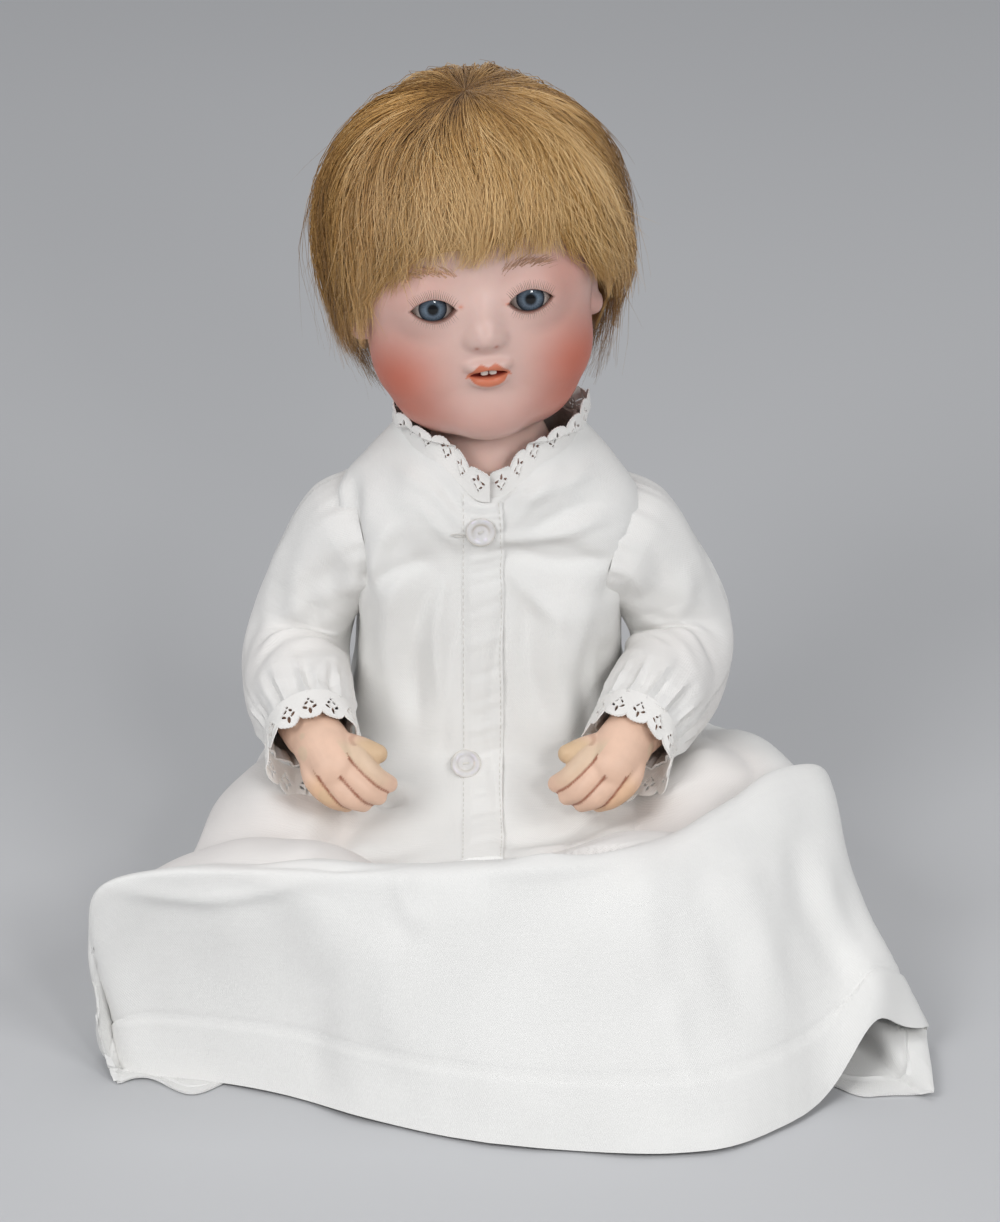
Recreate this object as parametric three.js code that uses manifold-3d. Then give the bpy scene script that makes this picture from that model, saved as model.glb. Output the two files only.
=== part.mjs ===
// A bisque-headed baby doll with sleeping glass eyes, a composition body strung with elastic, a mohair
// wig and a long cotton gown. Millimetres, +Z up, the face looks along -Y and the doll's own left is +X.
// The origin is on the surface that the doll sits on, straight below its neck.
import * as THREE from "three";
import { mergeVertices } from "three/addons/utils/BufferGeometryUtils.js";
import Module from "manifold-3d";

const wasm = await Module();
wasm.setup();

// Clearances
const GAP = 0.4; // room left between two pieces that touch
const SLIDE = 0.6; // room between a turning piece and its seat
const CLOTH = 1.2; // gown cloth
const EASE = 3.4; // how loosely the gown lies on the body

// Torso
const TORSO_HEIGHT = 139; // seat to the rim of the neck socket
const BODY_WIDTH = 78;
const BODY_DEPTH = 66;
const TORSO_WALL = 3.5;
const SEAT_CUT = 1.5; // depth of the flat seats for the limbs

// Neck
const NECK_BALL_R = 21; // rounded foot of the head
const NECK_LIFT = 6; // ball centre above the rim of its socket
const NECK_HOLE_R = 9;

// Head, measured from the centre of the neck ball
const HEAD_WALL = 3.5;
const EYE_LINE = 64;
const EYE_SPREAD = 31; // between the eye centres
const EYE_R = 8.4;
const EYE_WIDTH = 14.4; // opening of the lids
const EYE_HEIGHT = 7.6;
const MOUTH_DROP = 24; // below the eye line
const MOUTH_WIDTH = 11;
const MOUTH_HEIGHT = 3.2;
const CROWN_LIFT = 40; // crown opening above the eye line
const HAIR = 11; // thickness of the wig

// Arms
const SHOULDER_DROP = 25; // below the rim of the neck socket
const ARM_R = 15;
const WRIST_R = 9.5;
const HAND_LENGTH = 33;
const HAND_CLEAR = 15.5; // wrist axis above the lap, beyond the sleeve's own radius
const CUFF_LENGTH = 10;

// Legs
const HIP_LIFT = 27; // above the seat
const THIGH_R = 17;
const KNEE_R = 15;
const ANKLE_R = 9.5;
const FOOT_LENGTH = 56;
const LEG_REACH = 116; // hip to ankle, forwards
const FOOT_SPREAD = 36; // ankles outside the seats of the legs

// Gown
const SLEEVE_EASE = 3.2;
const NECK_STAND = 11; // how much higher the neckline is behind than in front
const NECKLINE_LIFT = 3; // front of the neckline above the rim of the neck socket
const SHOULDER_SPREAD = 48; // half width of the yoke, which hangs over the tops of the sleeves
const COLLAR_HEIGHT = 9;
const PLACKET_WIDTH = 12.6;
const PLACKET_THICK = 1;
const PLACKET_SHIFT = -3; // to the doll's right of the middle
const BUTTON_R = 5;
const BUTTON_THICK = 2;

// Stringing
const WIRE_R = 1;
const RING_R = 4.2; // wire ring of a limb hook
const ELASTIC_R = 1.4;
const STRAND = 3.6; // half the spread of an elastic loop

// Levels and centres that follow from the sizes above
const SEAT_Z = CLOTH + GAP;
const RIM_Z = SEAT_Z + TORSO_HEIGHT;
const NECK_Y = 2;
const NECK_Z = RIM_Z + NECK_LIFT;
const SHOULDER_Z = RIM_Z - SHOULDER_DROP;
const HIP_Z = SEAT_Z + HIP_LIFT;
const LAP_Z = HIP_Z + THIGH_R + EASE;
const MOUTH_Z = EYE_LINE - MOUTH_DROP;
const CROWN_Z = EYE_LINE + CROWN_LIFT;
const EYE_Y = -32.7;
const SOCKET_R = NECK_BALL_R + SLIDE;

const V = (x, y, z) => new THREE.Vector3(x, y, z);
const bump = (d, width) => Math.exp(-((d / width) ** 2));
const step = (from, to, x) => THREE.MathUtils.smoothstep(x, from, to);

// Turns points and triangles into one closed solid that faces outwards.
function solidFrom(points, index) {
  const loose = new THREE.BufferGeometry().setFromPoints(points);
  loose.setIndex(index);
  return solidOf(loose);
}

function solidOf(geometry) {
  const bare = new THREE.BufferGeometry();
  bare.setAttribute("position", geometry.getAttribute("position"));
  if (geometry.index) bare.setIndex(geometry.index);
  const merged = mergeVertices(bare, 1e-4);
  const kept = [];
  const all = merged.index.array;
  for (let i = 0; i < all.length; i += 3) {
    const [a, b, c] = [all[i], all[i + 1], all[i + 2]];
    if (a !== b && b !== c && a !== c) kept.push(a, b, c);
  }
  const make = (order) =>
    new wasm.Manifold(
      new wasm.Mesh({
        numProp: 3,
        vertProperties: new Float32Array(merged.attributes.position.array),
        triVerts: new Uint32Array(order),
      }),
    );
  const solid = make(kept);
  return solid.volume() < 0 ? make(kept.slice().reverse()) : solid;
}

function geometryOf(solid) {
  const mesh = solid.getMesh();
  const geometry = new THREE.BufferGeometry();
  geometry.setAttribute("position", new THREE.BufferAttribute(new Float32Array(mesh.vertProperties), 3));
  geometry.setIndex(new THREE.BufferAttribute(new Uint32Array(mesh.triVerts), 1));
  geometry.computeVertexNormals();
  return geometry;
}

// Skins a row of rings. A looped row joins its last ring to its first, any other gets flat ends.
function skin(rings, looped = false) {
  const sides = rings[0].length;
  const points = rings.flat();
  const index = [];
  const bands = looped ? rings.length : rings.length - 1;
  for (let r = 0; r < bands; r++) {
    for (let s = 0; s < sides; s++) {
      const next = ((r + 1) % rings.length) * sides;
      const a = r * sides + s;
      const b = r * sides + ((s + 1) % sides);
      const c = next + s;
      const d = next + ((s + 1) % sides);
      index.push(a, b, d, a, d, c);
    }
  }
  if (!looped) {
    for (const r of [0, rings.length - 1]) {
      const middle = points.length;
      points.push(rings[r].reduce((sum, p) => sum.add(p), V(0, 0, 0)).divideScalar(sides));
      for (let s = 0; s < sides; s++) {
        const a = r * sides + s;
        const b = r * sides + ((s + 1) % sides);
        if (r === 0) index.push(b, a, middle);
        else index.push(a, b, middle);
      }
    }
  }
  return solidFrom(points, index);
}

// A sheet of cloth: the rings are its outer face, and its inner face lies one thickness inside. Where the
// cloth has a neighbour, keep moves a point of the inner face clear of it.
function clothTube(rings, thick, keep = (p) => p) {
  const sides = rings[0].length;
  const inner = rings.map((ring, r) =>
    ring.map((p, s) => {
      const before = rings[Math.max(r - 1, 0)][s];
      const after = rings[Math.min(r + 1, rings.length - 1)][s];
      const along = after.clone().sub(before);
      const around = ring[(s + 1) % sides].clone().sub(ring[(s + sides - 1) % sides]);
      const inwards = along.cross(around).normalize();
      return keep(p.clone().addScaledVector(inwards, thick), r);
    }),
  );
  return skin([...rings, ...inner.reverse()], true);
}

function spline(values, t) {
  return new THREE.SplineCurve(values.map((v, i) => new THREE.Vector2(i, v))).getPoint(t).y;
}

function ringAround(centre, across, upwards, a, b, sides) {
  const ring = [];
  for (let i = 0; i < sides; i++) {
    const angle = (i / sides) * 2 * Math.PI;
    const p = centre.clone().addScaledVector(across, a * Math.cos(angle));
    ring.push(p.addScaledVector(upwards, b * Math.sin(angle)));
  }
  return ring;
}

function frames(points, count) {
  const curve = new THREE.CatmullRomCurve3(points);
  const turned = curve.computeFrenetFrames(count, false);
  const list = [];
  for (let i = 0; i <= count; i++) {
    const u = i / count;
    list.push({
      u,
      at: curve.getPointAt(u),
      along: turned.tangents[i],
      across: turned.normals[i],
      up: turned.binormals[i],
    });
  }
  return list;
}

// A rounded limb along a path.
function limb(points, radii, sides, count) {
  const rings = [];
  const list = frames(points, count);
  const roundOff = (f, sign) => {
    const r = spline(radii, f.u);
    return [75, 35].map((degrees) => {
      const angle = THREE.MathUtils.degToRad(degrees);
      const centre = f.at.clone().addScaledVector(f.along, sign * r * Math.sin(angle));
      return ringAround(centre, f.across, f.up, r * Math.cos(angle), r * Math.cos(angle), sides);
    });
  };
  rings.push(...roundOff(list[0], -1));
  for (const f of list) {
    const r = spline(radii, f.u);
    rings.push(ringAround(f.at, f.across, f.up, r, r, sides));
  }
  rings.push(...roundOff(list[count], 1).reverse());
  return skin(rings);
}

function ellipsoid(at, radii, wide = 16, high = 10) {
  const geometry = new THREE.SphereGeometry(1, wide, high);
  geometry.scale(radii.x, radii.y, radii.z);
  geometry.translate(at.x, at.y, at.z);
  return solidOf(geometry);
}

function ball(at, r, wide = 20, high = 14) {
  return ellipsoid(at, V(r, r, r), wide, high);
}

// A round bar between two points.
function rod(from, to, r, sides = 16) {
  const along = to.clone().sub(from);
  const geometry = new THREE.CylinderGeometry(r, r, along.length(), sides);
  geometry.applyQuaternion(new THREE.Quaternion().setFromUnitVectors(V(0, 1, 0), along.clone().normalize()));
  const middle = from.clone().add(to).multiplyScalar(0.5);
  geometry.translate(middle.x, middle.y, middle.z);
  return solidOf(geometry);
}

function box(at, size) {
  const geometry = new THREE.BoxGeometry(size.x, size.y, size.z);
  geometry.translate(at.x, at.y, at.z);
  return solidOf(geometry);
}

// Bent wire with flat ends.
function wire(points, r, segments) {
  const section = new THREE.Shape();
  section.absarc(0, 0, r, 0, 2 * Math.PI, false);
  const geometry = new THREE.ExtrudeGeometry(section, {
    steps: segments,
    curveSegments: 3,
    bevelEnabled: false,
    extrudePath: new THREE.CatmullRomCurve3(points),
  });
  return solidOf(geometry);
}

function loop(points, r, segments) {
  return solidOf(new THREE.TubeGeometry(new THREE.CatmullRomCurve3(points, true), segments, r, 5, true));
}

const material = (color, roughness, metalness = 0) =>
  new THREE.MeshStandardMaterial({ color, roughness, metalness });
const bisque = material(0xf0c9b4, 0.45);
const composition = material(0xe2b99c, 0.5);
const cotton = material(0xf1f0ec, 0.9);
const lace = material(0xf6f5f2, 0.9);
const mohair = material(0xc9a063, 0.8);
const glass = material(0x8fa3ad, 0.1);
const enamel = material(0xf7f2e6, 0.3);
const pearl = material(0xeeeae0, 0.25);
const felt = material(0x7d1f1c, 0.95);
const plaster = material(0xe9e4da, 0.9);
const cork = material(0xa9794d, 0.9);
const pasteboard = material(0xb09873, 0.9);
const lead = material(0x6e7176, 0.55, 0.8);
const steel = material(0x9a9c9e, 0.4, 0.9);
const turnedWood = material(0xb98d5a, 0.6);
const elasticCord = material(0xd9d3c4, 0.9);

const doll = new THREE.Group();
doll.name = "bisque_baby_doll";

function add(parent, name, solid, look) {
  const mesh = new THREE.Mesh(geometryOf(solid), look.clone());
  mesh.name = name;
  parent.add(mesh);
}

// Torso: share of the height, then shares of the half width and of the half depth in front and behind.
const TORSO_FORM = [
  [0, 0.55, 0.5, 0.55],
  [0.05, 0.8, 0.77, 0.82],
  [0.13, 0.95, 0.93, 1],
  [0.22, 1, 0.99, 1.04],
  [0.34, 1.01, 1.05, 1.02],
  [0.48, 1, 1.08, 0.95],
  [0.62, 0.97, 0.99, 0.9],
  [0.75, 0.96, 0.89, 0.9],
  [0.84, 0.96, 0.8, 0.85],
  [0.92, 0.82, 0.72, 0.77],
];

function torsoAt(z) {
  const levels = TORSO_FORM.map((row) => SEAT_Z + row[0] * TORSO_HEIGHT);
  const rim = SOCKET_R + TORSO_WALL - 1;
  const read = (column, size) => {
    const values = [...TORSO_FORM.map((row) => row[column] * size), rim];
    const heights = [...levels, RIM_Z];
    const k = Math.max(0, heights.findLastIndex((h) => h <= z));
    if (k >= heights.length - 1) return values[values.length - 1];
    return THREE.MathUtils.lerp(values[k], values[k + 1], (z - heights[k]) / (heights[k + 1] - heights[k]));
  };
  return { w: read(1, BODY_WIDTH / 2), front: read(2, BODY_DEPTH / 2), back: read(3, BODY_DEPTH / 2) };
}

function bodyRing(z, inset, sides) {
  const { w, front, back } = torsoAt(z);
  const power = 2.4;
  const ring = [];
  for (let i = 0; i < sides; i++) {
    const angle = (i / sides) * 2 * Math.PI;
    const c = Math.cos(angle);
    const s = Math.sin(angle);
    const depth = s < 0 ? front : back;
    const x = Math.sign(c) * Math.abs(c) ** (2 / power) * (w - inset);
    ring.push(V(x, Math.sign(s) * Math.abs(s) ** (2 / power) * (depth - inset), z));
  }
  return ring;
}

const neck = V(0, NECK_Y, NECK_Z);
const shoulderX = torsoAt(SHOULDER_Z).w - SEAT_CUT;
const hipX = torsoAt(HIP_Z).w - SEAT_CUT;

function buildTorso() {
  const levels = [...TORSO_FORM.map((row) => SEAT_Z + row[0] * TORSO_HEIGHT), RIM_Z];
  let shell = skin(levels.map((z) => bodyRing(z, 0, 24)));
  const floor = SEAT_Z + TORSO_WALL;
  const ceiling = SHOULDER_Z + STRAND + ELASTIC_R + 2.5;
  const hollow = [];
  for (let i = 0; i <= 5; i++) {
    hollow.push(bodyRing(THREE.MathUtils.lerp(floor, ceiling, i / 5), TORSO_WALL, 16));
  }
  shell = shell.subtract(skin(hollow));
  shell = shell.subtract(ball(neck, SOCKET_R, 24, 14));
  shell = shell.subtract(rod(V(0, NECK_Y, ceiling - 3), neck, NECK_HOLE_R + 1, 16));
  for (const side of [-1, 1]) {
    const arm = (x) => V(side * x, 0, SHOULDER_Z);
    const leg = (x) => V(side * x, 0, HIP_Z);
    const outside = BODY_WIDTH;
    shell = shell.subtract(rod(arm(shoulderX), arm(outside), ARM_R + 2, 20));
    shell = shell.subtract(rod(arm(shoulderX - 12), arm(outside), RING_R + WIRE_R + 2.5, 12));
    shell = shell.subtract(rod(leg(hipX), leg(outside), THIGH_R + 3, 20));
    shell = shell.subtract(rod(leg(hipX - 12), leg(outside), RING_R + WIRE_R + 2.5, 12));
  }
  return shell;
}

// Head: soft-edged masses, each with its centre, its radii and how softly it runs into the rest.
const mirrored = (x, y, z, rx, ry, rz, soft) => [
  [x, y, z, rx, ry, rz, soft],
  [-x, y, z, rx, ry, rz, soft],
];
const eyeX = EYE_SPREAD / 2;
const eyeAt = (side) => V(side * eyeX, EYE_Y, EYE_LINE);
const axle = (x) => V(x, EYE_Y, EYE_LINE);
const axleEnd = eyeX + EYE_R + 1.6;
const HEAD_FORM = [
  [0, 2, EYE_LINE + 12, 41, 46, 43, 6],
  [0, -8, EYE_LINE - 12, 36, 36, 38, 8],
  ...mirrored(19, -20, EYE_LINE + 4, 17.5, 18, 19, 6),
  ...mirrored(16.5, -20.5, MOUTH_Z + 4, 18.5, 18.5, 19, 6),
  [0, -12, MOUTH_Z - 10, 27, 26, 15, 6],
  [0, -29.5, MOUTH_Z - 13.5, 13, 11.5, 11.5, 6],
  ...mirrored(eyeX, EYE_Y, EYE_LINE, EYE_R + 2.7, EYE_R + 2.7, EYE_R + 2.5, 3),
  [0, -42, EYE_LINE - 6, 4, 5, 8, 5],
  [0, -45, EYE_LINE - 11, 4.4, 4.6, 4.2, 3],
  ...mirrored(4.2, -43.2, EYE_LINE - 12, 3, 3.4, 3, 2),
  [0, -42.4, MOUTH_Z + 2.4, 7.2, 3.8, 2.8, 2],
  [0, -41.8, MOUTH_Z - 2.8, 5.8, 3.8, 2.6, 2],
  [0, 0, 16, 17.5, 17.5, 30, 6],
  [0, 0, 0, NECK_BALL_R, NECK_BALL_R, NECK_BALL_R, 3],
];

function depthAt(p) {
  let nearest = 1e3;
  for (const [x, y, z, rx, ry, rz, soft] of HEAD_FORM) {
    const [dx, dy, dz] = [(p.x - x) / rx, (p.y - y) / ry, (p.z - z) / rz];
    const k0 = Math.hypot(dx, dy, dz);
    const k1 = Math.max(Math.hypot(dx / rx, dy / ry, dz / rz), 1e-6);
    const d = (k0 * (k0 - 1)) / k1;
    const h = Math.max(soft - Math.abs(nearest - d), 0) / soft;
    nearest = Math.min(nearest, d) - (h * h * soft) / 4;
  }
  return nearest;
}

// How far the head reaches from a point along a direction, at a depth under its surface.
function reach(from, towards, under) {
  const at = (r) => depthAt(from.clone().addScaledVector(towards, r)) + under;
  let outside = 90;
  while (outside > 0 && at(outside - 1) > 0) outside -= 1;
  if (outside <= 0) return 0;
  let inside = outside - 1;
  for (let i = 0; i < 24; i++) {
    const middle = (inside + outside) / 2;
    if (at(middle) > 0) outside = middle;
    else inside = middle;
  }
  return (inside + outside) / 2;
}

const facing = (angle) => V(Math.sin(angle), -Math.cos(angle), 0);

// Rings run closer together over the face than behind the head.
function headRing(z, under, sides) {
  const ring = [];
  for (let i = 0; i < sides; i++) {
    const even = (i / sides) * 2 * Math.PI;
    const angle = even - 0.5 * Math.sin(even);
    const r = reach(V(0, 0, z), facing(angle), under);
    ring.push(facing(angle).multiplyScalar(r).setZ(z));
  }
  return ring;
}

function levelsBetween(bands) {
  const levels = [];
  for (const [from, to, count] of bands) {
    for (let i = 0; i < count; i++) levels.push(THREE.MathUtils.lerp(from, to, i / count));
  }
  levels.push(bands[bands.length - 1][1]);
  return levels;
}

function almond(width, height) {
  const shape = new THREE.Shape();
  shape.moveTo(-width / 2, 0);
  shape.quadraticCurveTo(0, height, width / 2, 0);
  shape.quadraticCurveTo(0, -height, -width / 2, 0);
  return shape;
}

// A shape seen from the front, cut from a depth out to well before the face.
function frontPrism(shape, x, z, y) {
  const geometry = new THREE.ExtrudeGeometry(shape, { depth: 40, bevelEnabled: false, curveSegments: 5 });
  geometry.rotateX(Math.PI / 2);
  geometry.translate(x, y, z);
  return solidOf(geometry);
}

const wallBehind = (z) => -reach(V(0, 0, z), facing(0), HEAD_WALL);
const headHollow = skin(
  levelsBetween([
    [-(NECK_BALL_R - HEAD_WALL) + 0.3, -8, 4],
    [-8, 20, 3],
    [20, EYE_LINE, 5],
    [EYE_LINE, CROWN_Z, 3],
    [CROWN_Z, CROWN_Z + 1, 1],
  ]).map((z) => headRing(Math.min(z, CROWN_Z), HEAD_WALL, 18).map((p) => p.setZ(z))),
);

function buildHead() {
  let shell = skin(
    levelsBetween([
      [-NECK_BALL_R + 0.1, -12, 2],
      [-12, 14, 3],
      [14, MOUTH_Z - 6, 4],
      [MOUTH_Z - 6, MOUTH_Z + 6, 6],
      [MOUTH_Z + 6, EYE_LINE + 6, 6],
      [EYE_LINE + 6, CROWN_Z, 4],
    ]).map((z) => headRing(z, 0, 30)),
  );
  for (const side of [-1, 1]) {
    const ear = new THREE.SphereGeometry(1, 8, 6);
    ear.scale(3.4, 7.5, 11.5);
    ear.rotateX(0.2);
    ear.rotateZ(side * 0.35);
    ear.translate(side * 37.5, 3, EYE_LINE - 8);
    shell = shell.add(solidOf(ear));
  }
  shell = shell.subtract(headHollow);
  shell = shell.subtract(rod(V(0, 0, -NECK_BALL_R - 4), V(0, 0, -6), NECK_HOLE_R, 20));
  for (const side of [-1, 1]) {
    shell = shell.subtract(ball(V(side * eyeX, EYE_Y, EYE_LINE), EYE_R + SLIDE, 14, 10));
    shell = shell.subtract(frontPrism(almond(EYE_WIDTH, EYE_HEIGHT), side * eyeX, EYE_LINE, EYE_Y));
    shell = shell.subtract(rod(axle(side * eyeX), axle(side * (axleEnd + GAP)), WIRE_R + GAP, 8));
  }
  return shell.subtract(frontPrism(almond(MOUTH_WIDTH, MOUTH_HEIGHT), 0, MOUTH_Z, wallBehind(MOUTH_Z) + 3));
}

// The pate closes the crown opening and is domed like the rest of the skull.
function buildPate() {
  const thick = 2.5;
  const foot = CROWN_Z + GAP;
  const crown = (under) => reach(V(0, 2, foot), V(0, 0, 1), under) + foot;
  const dome = (under) =>
    [0, 0.4, 0.75, 0.95].map((t) => headRing(THREE.MathUtils.lerp(foot, crown(under), t), under, 18));
  const tip = (under) => headRing(foot, 0, 18).map(() => V(0, 2, crown(under)));
  return skin([...dome(0), tip(0), tip(thick), ...dome(thick).reverse()], true);
}

// The wig: its edge runs high over the forehead and low at the sides and behind.
function buildWig() {
  const middle = V(0, 4, EYE_LINE + 10);
  const sides = 22;
  const rows = 8;
  const outerRow = [];
  const innerRow = [];
  for (let row = 0; row <= rows; row++) {
    const outerRing = [];
    const innerRing = [];
    for (let i = 0; i < sides; i++) {
      const even = (i / sides) * 2 * Math.PI;
      const angle = even - 0.25 * Math.sin(even);
      const sideways = Math.abs(((even + Math.PI) % (2 * Math.PI)) - Math.PI);
      const edge = THREE.MathUtils.lerp(1.5, 2.38, step(0.75, 1.35, sideways));
      const tilt = (row / rows) * edge;
      const towards = facing(angle).multiplyScalar(Math.sin(tilt)).setZ(Math.cos(tilt));
      const round = 1 / Math.hypot(towards.x / 52.5, towards.y / 56, towards.z / 55);
      const flare = 0.26 * (0.3 + 0.7 * Math.sin(angle) ** 2);
      const outer = round * (1 + flare * step(1.75, 2.45, tilt));
      const inner = Math.max(reach(middle, towards, 0) + SLIDE + 3.3, outer - HAIR);
      outerRing.push(middle.clone().addScaledVector(towards, outer));
      innerRing.push(middle.clone().addScaledVector(towards, inner));
    }
    outerRow.push(outerRing);
    innerRow.push(innerRing);
  }
  let wig = skin([...outerRow, ...innerRow.reverse()]);
  for (const side of [-1, 1]) {
    wig = wig.subtract(ellipsoid(V(side * 38, 3, EYE_LINE - 8), V(6.5, 10.5, 14), 8, 6));
  }
  return wig;
}

const headGroup = new THREE.Group();
headGroup.position.copy(neck);
headGroup.rotation.set(-0.087, -0.082, 0.087, "ZYX");
doll.add(headGroup);

const weightAt = V(0, -15, EYE_LINE - 31);
const weightR = 6;

function buildHeadPieces() {
  add(headGroup, "head_shell", buildHead(), bisque);
  add(headGroup, "crown_pate", buildPate(), pasteboard);
  add(headGroup, "mohair_wig", buildWig(), mohair);

  const plateY = wallBehind(MOUTH_Z) + 1.4;
  const toothWide = MOUTH_WIDTH * 0.2;
  let teeth = box(V(0, plateY, MOUTH_Z + 0.6), V(MOUTH_WIDTH * 0.7, 1.2, MOUTH_HEIGHT * 0.6));
  for (const side of [-1, 1]) {
    const tooth = V(side * (toothWide / 2 + 0.15), plateY - 1.1, MOUTH_Z + 0.1);
    teeth = teeth.add(box(tooth, V(toothWide, 2, MOUTH_HEIGHT * 0.3)));
  }
  teeth = teeth.add(box(V(0, plateY - 0.5, MOUTH_Z + 0.2), V(toothWide, 0.6, MOUTH_HEIGHT * 0.3)));
  add(headGroup, "upper_teeth", teeth, enamel);
  const liningY = plateY + 0.6 + GAP + 0.5;
  add(headGroup, "mouth_lining", box(V(0, liningY, MOUTH_Z), V(MOUTH_WIDTH + 3, 1, 7)), felt);

  const tail = V(0, weightAt.y, weightAt.z + weightR - 3);
  let rocker = rod(axle(-axleEnd), axle(axleEnd), WIRE_R, 10);
  const bend = [axle(0), V(0, EYE_Y + 9, EYE_LINE - 5), V(0, tail.y, tail.z + 8), tail];
  rocker = rocker.add(wire(bend, WIRE_R * 0.9, 8));
  add(headGroup, "eye_axle_wire", rocker, steel);
  const bore = rod(tail.clone().setZ(tail.z - 1), tail.clone().setZ(tail.z + 10), WIRE_R + GAP + 0.1, 8);
  add(headGroup, "eye_weight", ellipsoid(weightAt, V(weightR, weightR, weightR), 12, 8).subtract(bore), lead);

  for (const side of [-1, 1]) {
    const name = side > 0 ? "left" : "right";
    const pivot = rod(axle(side * (eyeX - EYE_R - 4)), axle(side * (eyeX + EYE_R + 6)), WIRE_R + GAP, 8);
    add(headGroup, `${name}_eye`, ball(eyeAt(side), EYE_R, 16, 12).subtract(pivot), glass);
    const boss = ball(V(side * (eyeX + EYE_R + 4), EYE_Y + 3, EYE_LINE), 6, 10, 7)
      .intersect(solidOf(geometryOf(headHollow).scale(0.985, 0.985, 1)))
      .subtract(ball(eyeAt(side), EYE_R + SLIDE, 14, 10))
      .subtract(pivot);
    add(headGroup, `${name}_eye_boss`, boss, plaster);
  }
  const stopZ = weightAt.z - 2.5;
  const stopFrom = V(0, wallBehind(stopZ) + 1.2, stopZ);
  add(headGroup, "cork_stop", rod(stopFrom, V(0, weightAt.y - weightR - GAP, stopZ), 3.2, 12), cork);
}

// Neck: a domed wooden button rests in the hollow foot of the head, and a hook hangs through it.
function buildNeckPieces() {
  const domeR = NECK_BALL_R - HEAD_WALL - SLIDE - GAP;
  const profile = [new THREE.Vector2(0, -domeR)];
  for (let i = 1; i <= 4; i++) {
    const angle = (i / 4) * 0.72;
    profile.push(new THREE.Vector2(domeR * Math.sin(angle), -domeR * Math.cos(angle)));
  }
  const top = -domeR * Math.cos(0.72) + 1.5;
  profile.push(new THREE.Vector2(domeR * Math.sin(0.72) - 1.5, top));
  profile.push(new THREE.Vector2(0, top));
  const dome = new THREE.LatheGeometry(profile, 16);
  dome.rotateX(Math.PI / 2);
  dome.translate(neck.x, neck.y, neck.z);
  const through = rod(V(0, NECK_Y, NECK_Z - domeR - 2), V(0, NECK_Y, NECK_Z), WIRE_R + GAP, 8);
  add(doll, "neck_button", solidOf(dome).subtract(through), turnedWood);

  const bendZ = hookZ + RING_R * 0.6;
  const hookR = RING_R * 0.62;
  const points = [V(0, NECK_Y, NECK_Z + top + 2), V(0, NECK_Y, NECK_Z - domeR), V(0, NECK_Y, bendZ)];
  for (let i = 1; i <= 4; i++) {
    const angle = (i / 4) * Math.PI;
    points.push(V(hookR * (1 - Math.cos(angle)), NECK_Y, bendZ - hookR * Math.sin(angle)));
  }
  let hook = wire(points, WIRE_R, 18);
  hook = hook.add(rod(V(0, NECK_Y, NECK_Z + top + GAP), V(0, NECK_Y, NECK_Z + top + 2.4), 3, 10));
  add(doll, "neck_hook", hook, steel);
}

const hookZ = SHOULDER_Z + STRAND + ELASTIC_R + WIRE_R + GAP + RING_R * 0.62 + 0.6;

// Elastic loops: one across for the arms, one across for the legs, and one that hangs from the neck hook
// and passes under the legs' loop.
function buildElastics() {
  const across = (seatX, z) => {
    const turn = seatX - 10 - RING_R + WIRE_R + GAP + ELASTIC_R;
    const points = [];
    for (const side of [1, -1]) {
      points.push(V(side * (turn - 4.5), 0, z - side * STRAND));
      points.push(V(side * turn, 0, z - side * 1.4));
      points.push(V(side * turn, 0, z + side * 1.4));
      points.push(V(side * (turn - 4.5), 0, z + side * STRAND));
    }
    return loop(points, ELASTIC_R, 36);
  };
  add(doll, "arm_elastic", across(shoulderX, SHOULDER_Z), elasticCord);
  add(doll, "leg_elastic", across(hipX, HIP_Z), elasticCord);
  const crest = hookZ + WIRE_R + GAP + ELASTIC_R + 0.5;
  const low = HIP_Z - STRAND - 4 * ELASTIC_R - GAP;
  const lean = RING_R * 0.62;
  const points = [
    V(lean, NECK_Y - 1.5, crest),
    V(lean, NECK_Y - STRAND - 1.5, crest - 4.5),
    V(0, -STRAND - 0.8, SHOULDER_Z - 12),
    V(0, -STRAND - 0.8, HIP_Z + 10),
    V(0, -1.6, low),
    V(0, 1.6, low),
    V(0, STRAND + 0.8, HIP_Z + 10),
    V(0, STRAND + 0.8, SHOULDER_Z - 12),
    V(lean, NECK_Y + STRAND + 1.5, crest - 4.5),
    V(lean, NECK_Y + 1.5, crest),
  ];
  add(doll, "neck_elastic", loop(points, ELASTIC_R, 40), elasticCord);
}

// A wire ring inside the torso with a shank that is set in the limb.
function limbHook(side, seatX, z) {
  const middle = seatX - 10;
  const ring = new THREE.TorusGeometry(RING_R, WIRE_R, 5, 14);
  ring.translate(side * middle, 0, z);
  const shank = rod(V(side * (middle + RING_R), 0, z), V(side * (seatX + 7), 0, z), WIRE_R, 8);
  return solidOf(ring).add(shank);
}

function hookBore(side, seatX, z) {
  return rod(V(side * (seatX - 2), 0, z), V(side * (seatX + 7 + GAP), 0, z), WIRE_R + GAP, 8);
}

function flatSeat(side, seatX, z, r) {
  return box(V(side * (seatX + GAP - 2 * r), 0, z), V(4 * r, 6 * r, 6 * r));
}

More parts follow.
